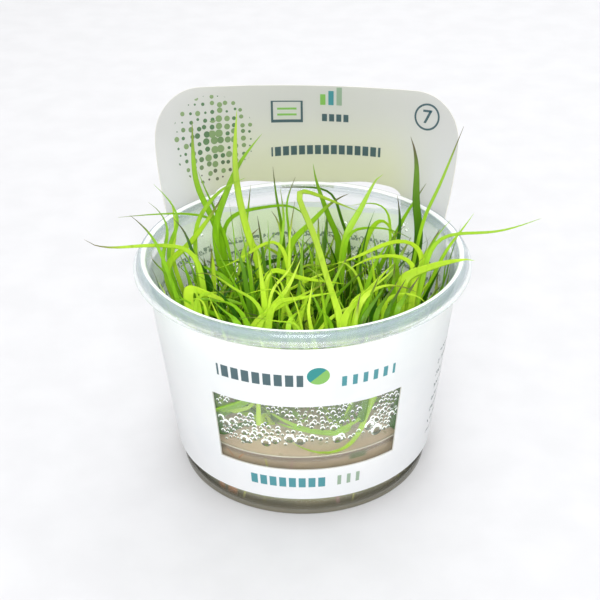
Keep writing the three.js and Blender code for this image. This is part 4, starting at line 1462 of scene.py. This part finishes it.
def build_drop_tree():
    sizes = {"Spacing": 0.0012, "Density": 2000000.0, "Smallest": 0.00038, "Usual": 0.00085, "Biggest": 0.002,
             "Low Edge": 0.027, "High Edge": 0.037}
    tree, web, given = new_tree("water drops", ("Seed",), sizes)
    sockets = {"Mesh": given, "Distance Min": given.out("Spacing"), "Density Max": given.out("Density"),
               "Density Factor": kept(web, "density"), "Seed": given.out("Seed")}
    spots = web.add("DistributePointsOnFaces", sockets, distribute_method="POISSON")
    rotation = spots.out("Rotation")
    cone = {"Vertices": DROP_SIDES, "Side Segments": DROP_RINGS, "Radius Top": 0.0, "Radius Bottom": 1.0,
            "Depth": 1.0}
    drop = web.add("MeshCone", cone, fill_type="TRIANGLE_FAN")
    across, along, rise = position(web)
    quarter = rise * (math.pi / 2)
    swell = quarter.maths("COSINE") / (1 - rise).maths("MAXIMUM", 0.001)
    drop = moved(web, drop, web.vector(across * swell, along * swell, quarter.maths("SINE")))
    across, along = position(web)[:2]
    drop = keep(web, drop, "edge", (across * across + along * along).maths("SQRT"))
    height = position(web)[2]
    chance = chance_of(web, 0.0, 1.0, given.out("Seed"), 3)
    low_share = web.smooth(height, given.out("Low Edge"), given.out("High Edge"), 1.0, 0.2)
    spread = given.out("Usual") - given.out("Smallest")
    rare = given.out("Biggest") - given.out("Usual")
    size = given.out("Smallest") + spread * chance * (0.4 + low_share * 0.6) + rare * chance**5 * low_share
    spots = keep(web, spots, "middle", height)
    spots = keep(web, spots, "size", size)
    sockets = {"Points": spots, "Instance": drop, "Rotation": rotation,
               "Scale": web.vector(size, size, size * DROP_HEIGHT)}
    drops = smooth_and_real(web, web.add("InstanceOnPoints", sockets))
    level = position(web)[2]
    drops = keep(web, drops, "lift", (level - kept(web, "middle")) / kept(web, "size"))
    close_tree(web, drops, given)
    return tree


def water_finish():
    web = Finish("water drop")
    haze = web.patchy(web.noise(800.0, 1.0), 0.0, 0.04)
    water = web.plastic(Base_Color=WATER_TINT, Roughness=haze, IOR=1.33, Transmission_Weight=1.0)
    # Painted highlight: a white glint on each drop's upper edge, which glows faintly though it is no lamp
    glint = web.plastic(Base_Color=GLINT_TONE, Roughness=0.3, Emission_Color=GLINT_GLOW,
                        Emission_Strength=GLINT_POWER)
    painted_glint_share = web.smooth(web.attribute("lift"), -0.35, 0.0) * web.smooth(web.attribute("edge"), 0.55, 0.68)
    return web.done_clear(web.blend(painted_glint_share, water, glint), WATER_SHADE)


drop_tree = build_drop_tree()
water = water_finish()
drops = grown(drop_ground(water), drop_tree, {"Seed": DROP_SEED, "Material": water}, "water_drops")
print("the water drops have", len(drops.data.polygons), "faces")

# %% [markdown]
# Every piece now rides on a body, and the CAD parts that it stands for are hidden. This
# object has one body, the root, because nothing on it moves.

# %% Hand the pieces to the frame
ROOT = "root"
for piece, slot, nodes in (
    (cup, "clear_cup", ["cup"]),
    (card, "printed_card", ["card_sleeve"]),
    (gel, "gel", ["growing_gel"]),
    *[(made, "leaf", ["plantlet_" + crown]) for crown, made in plantlets.items()],
    (drops, "clear_cup", []),
):
    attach(piece, ROOT)
    if nodes:
        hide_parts(*nodes)

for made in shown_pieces():
    made.data.calc_loop_triangles()
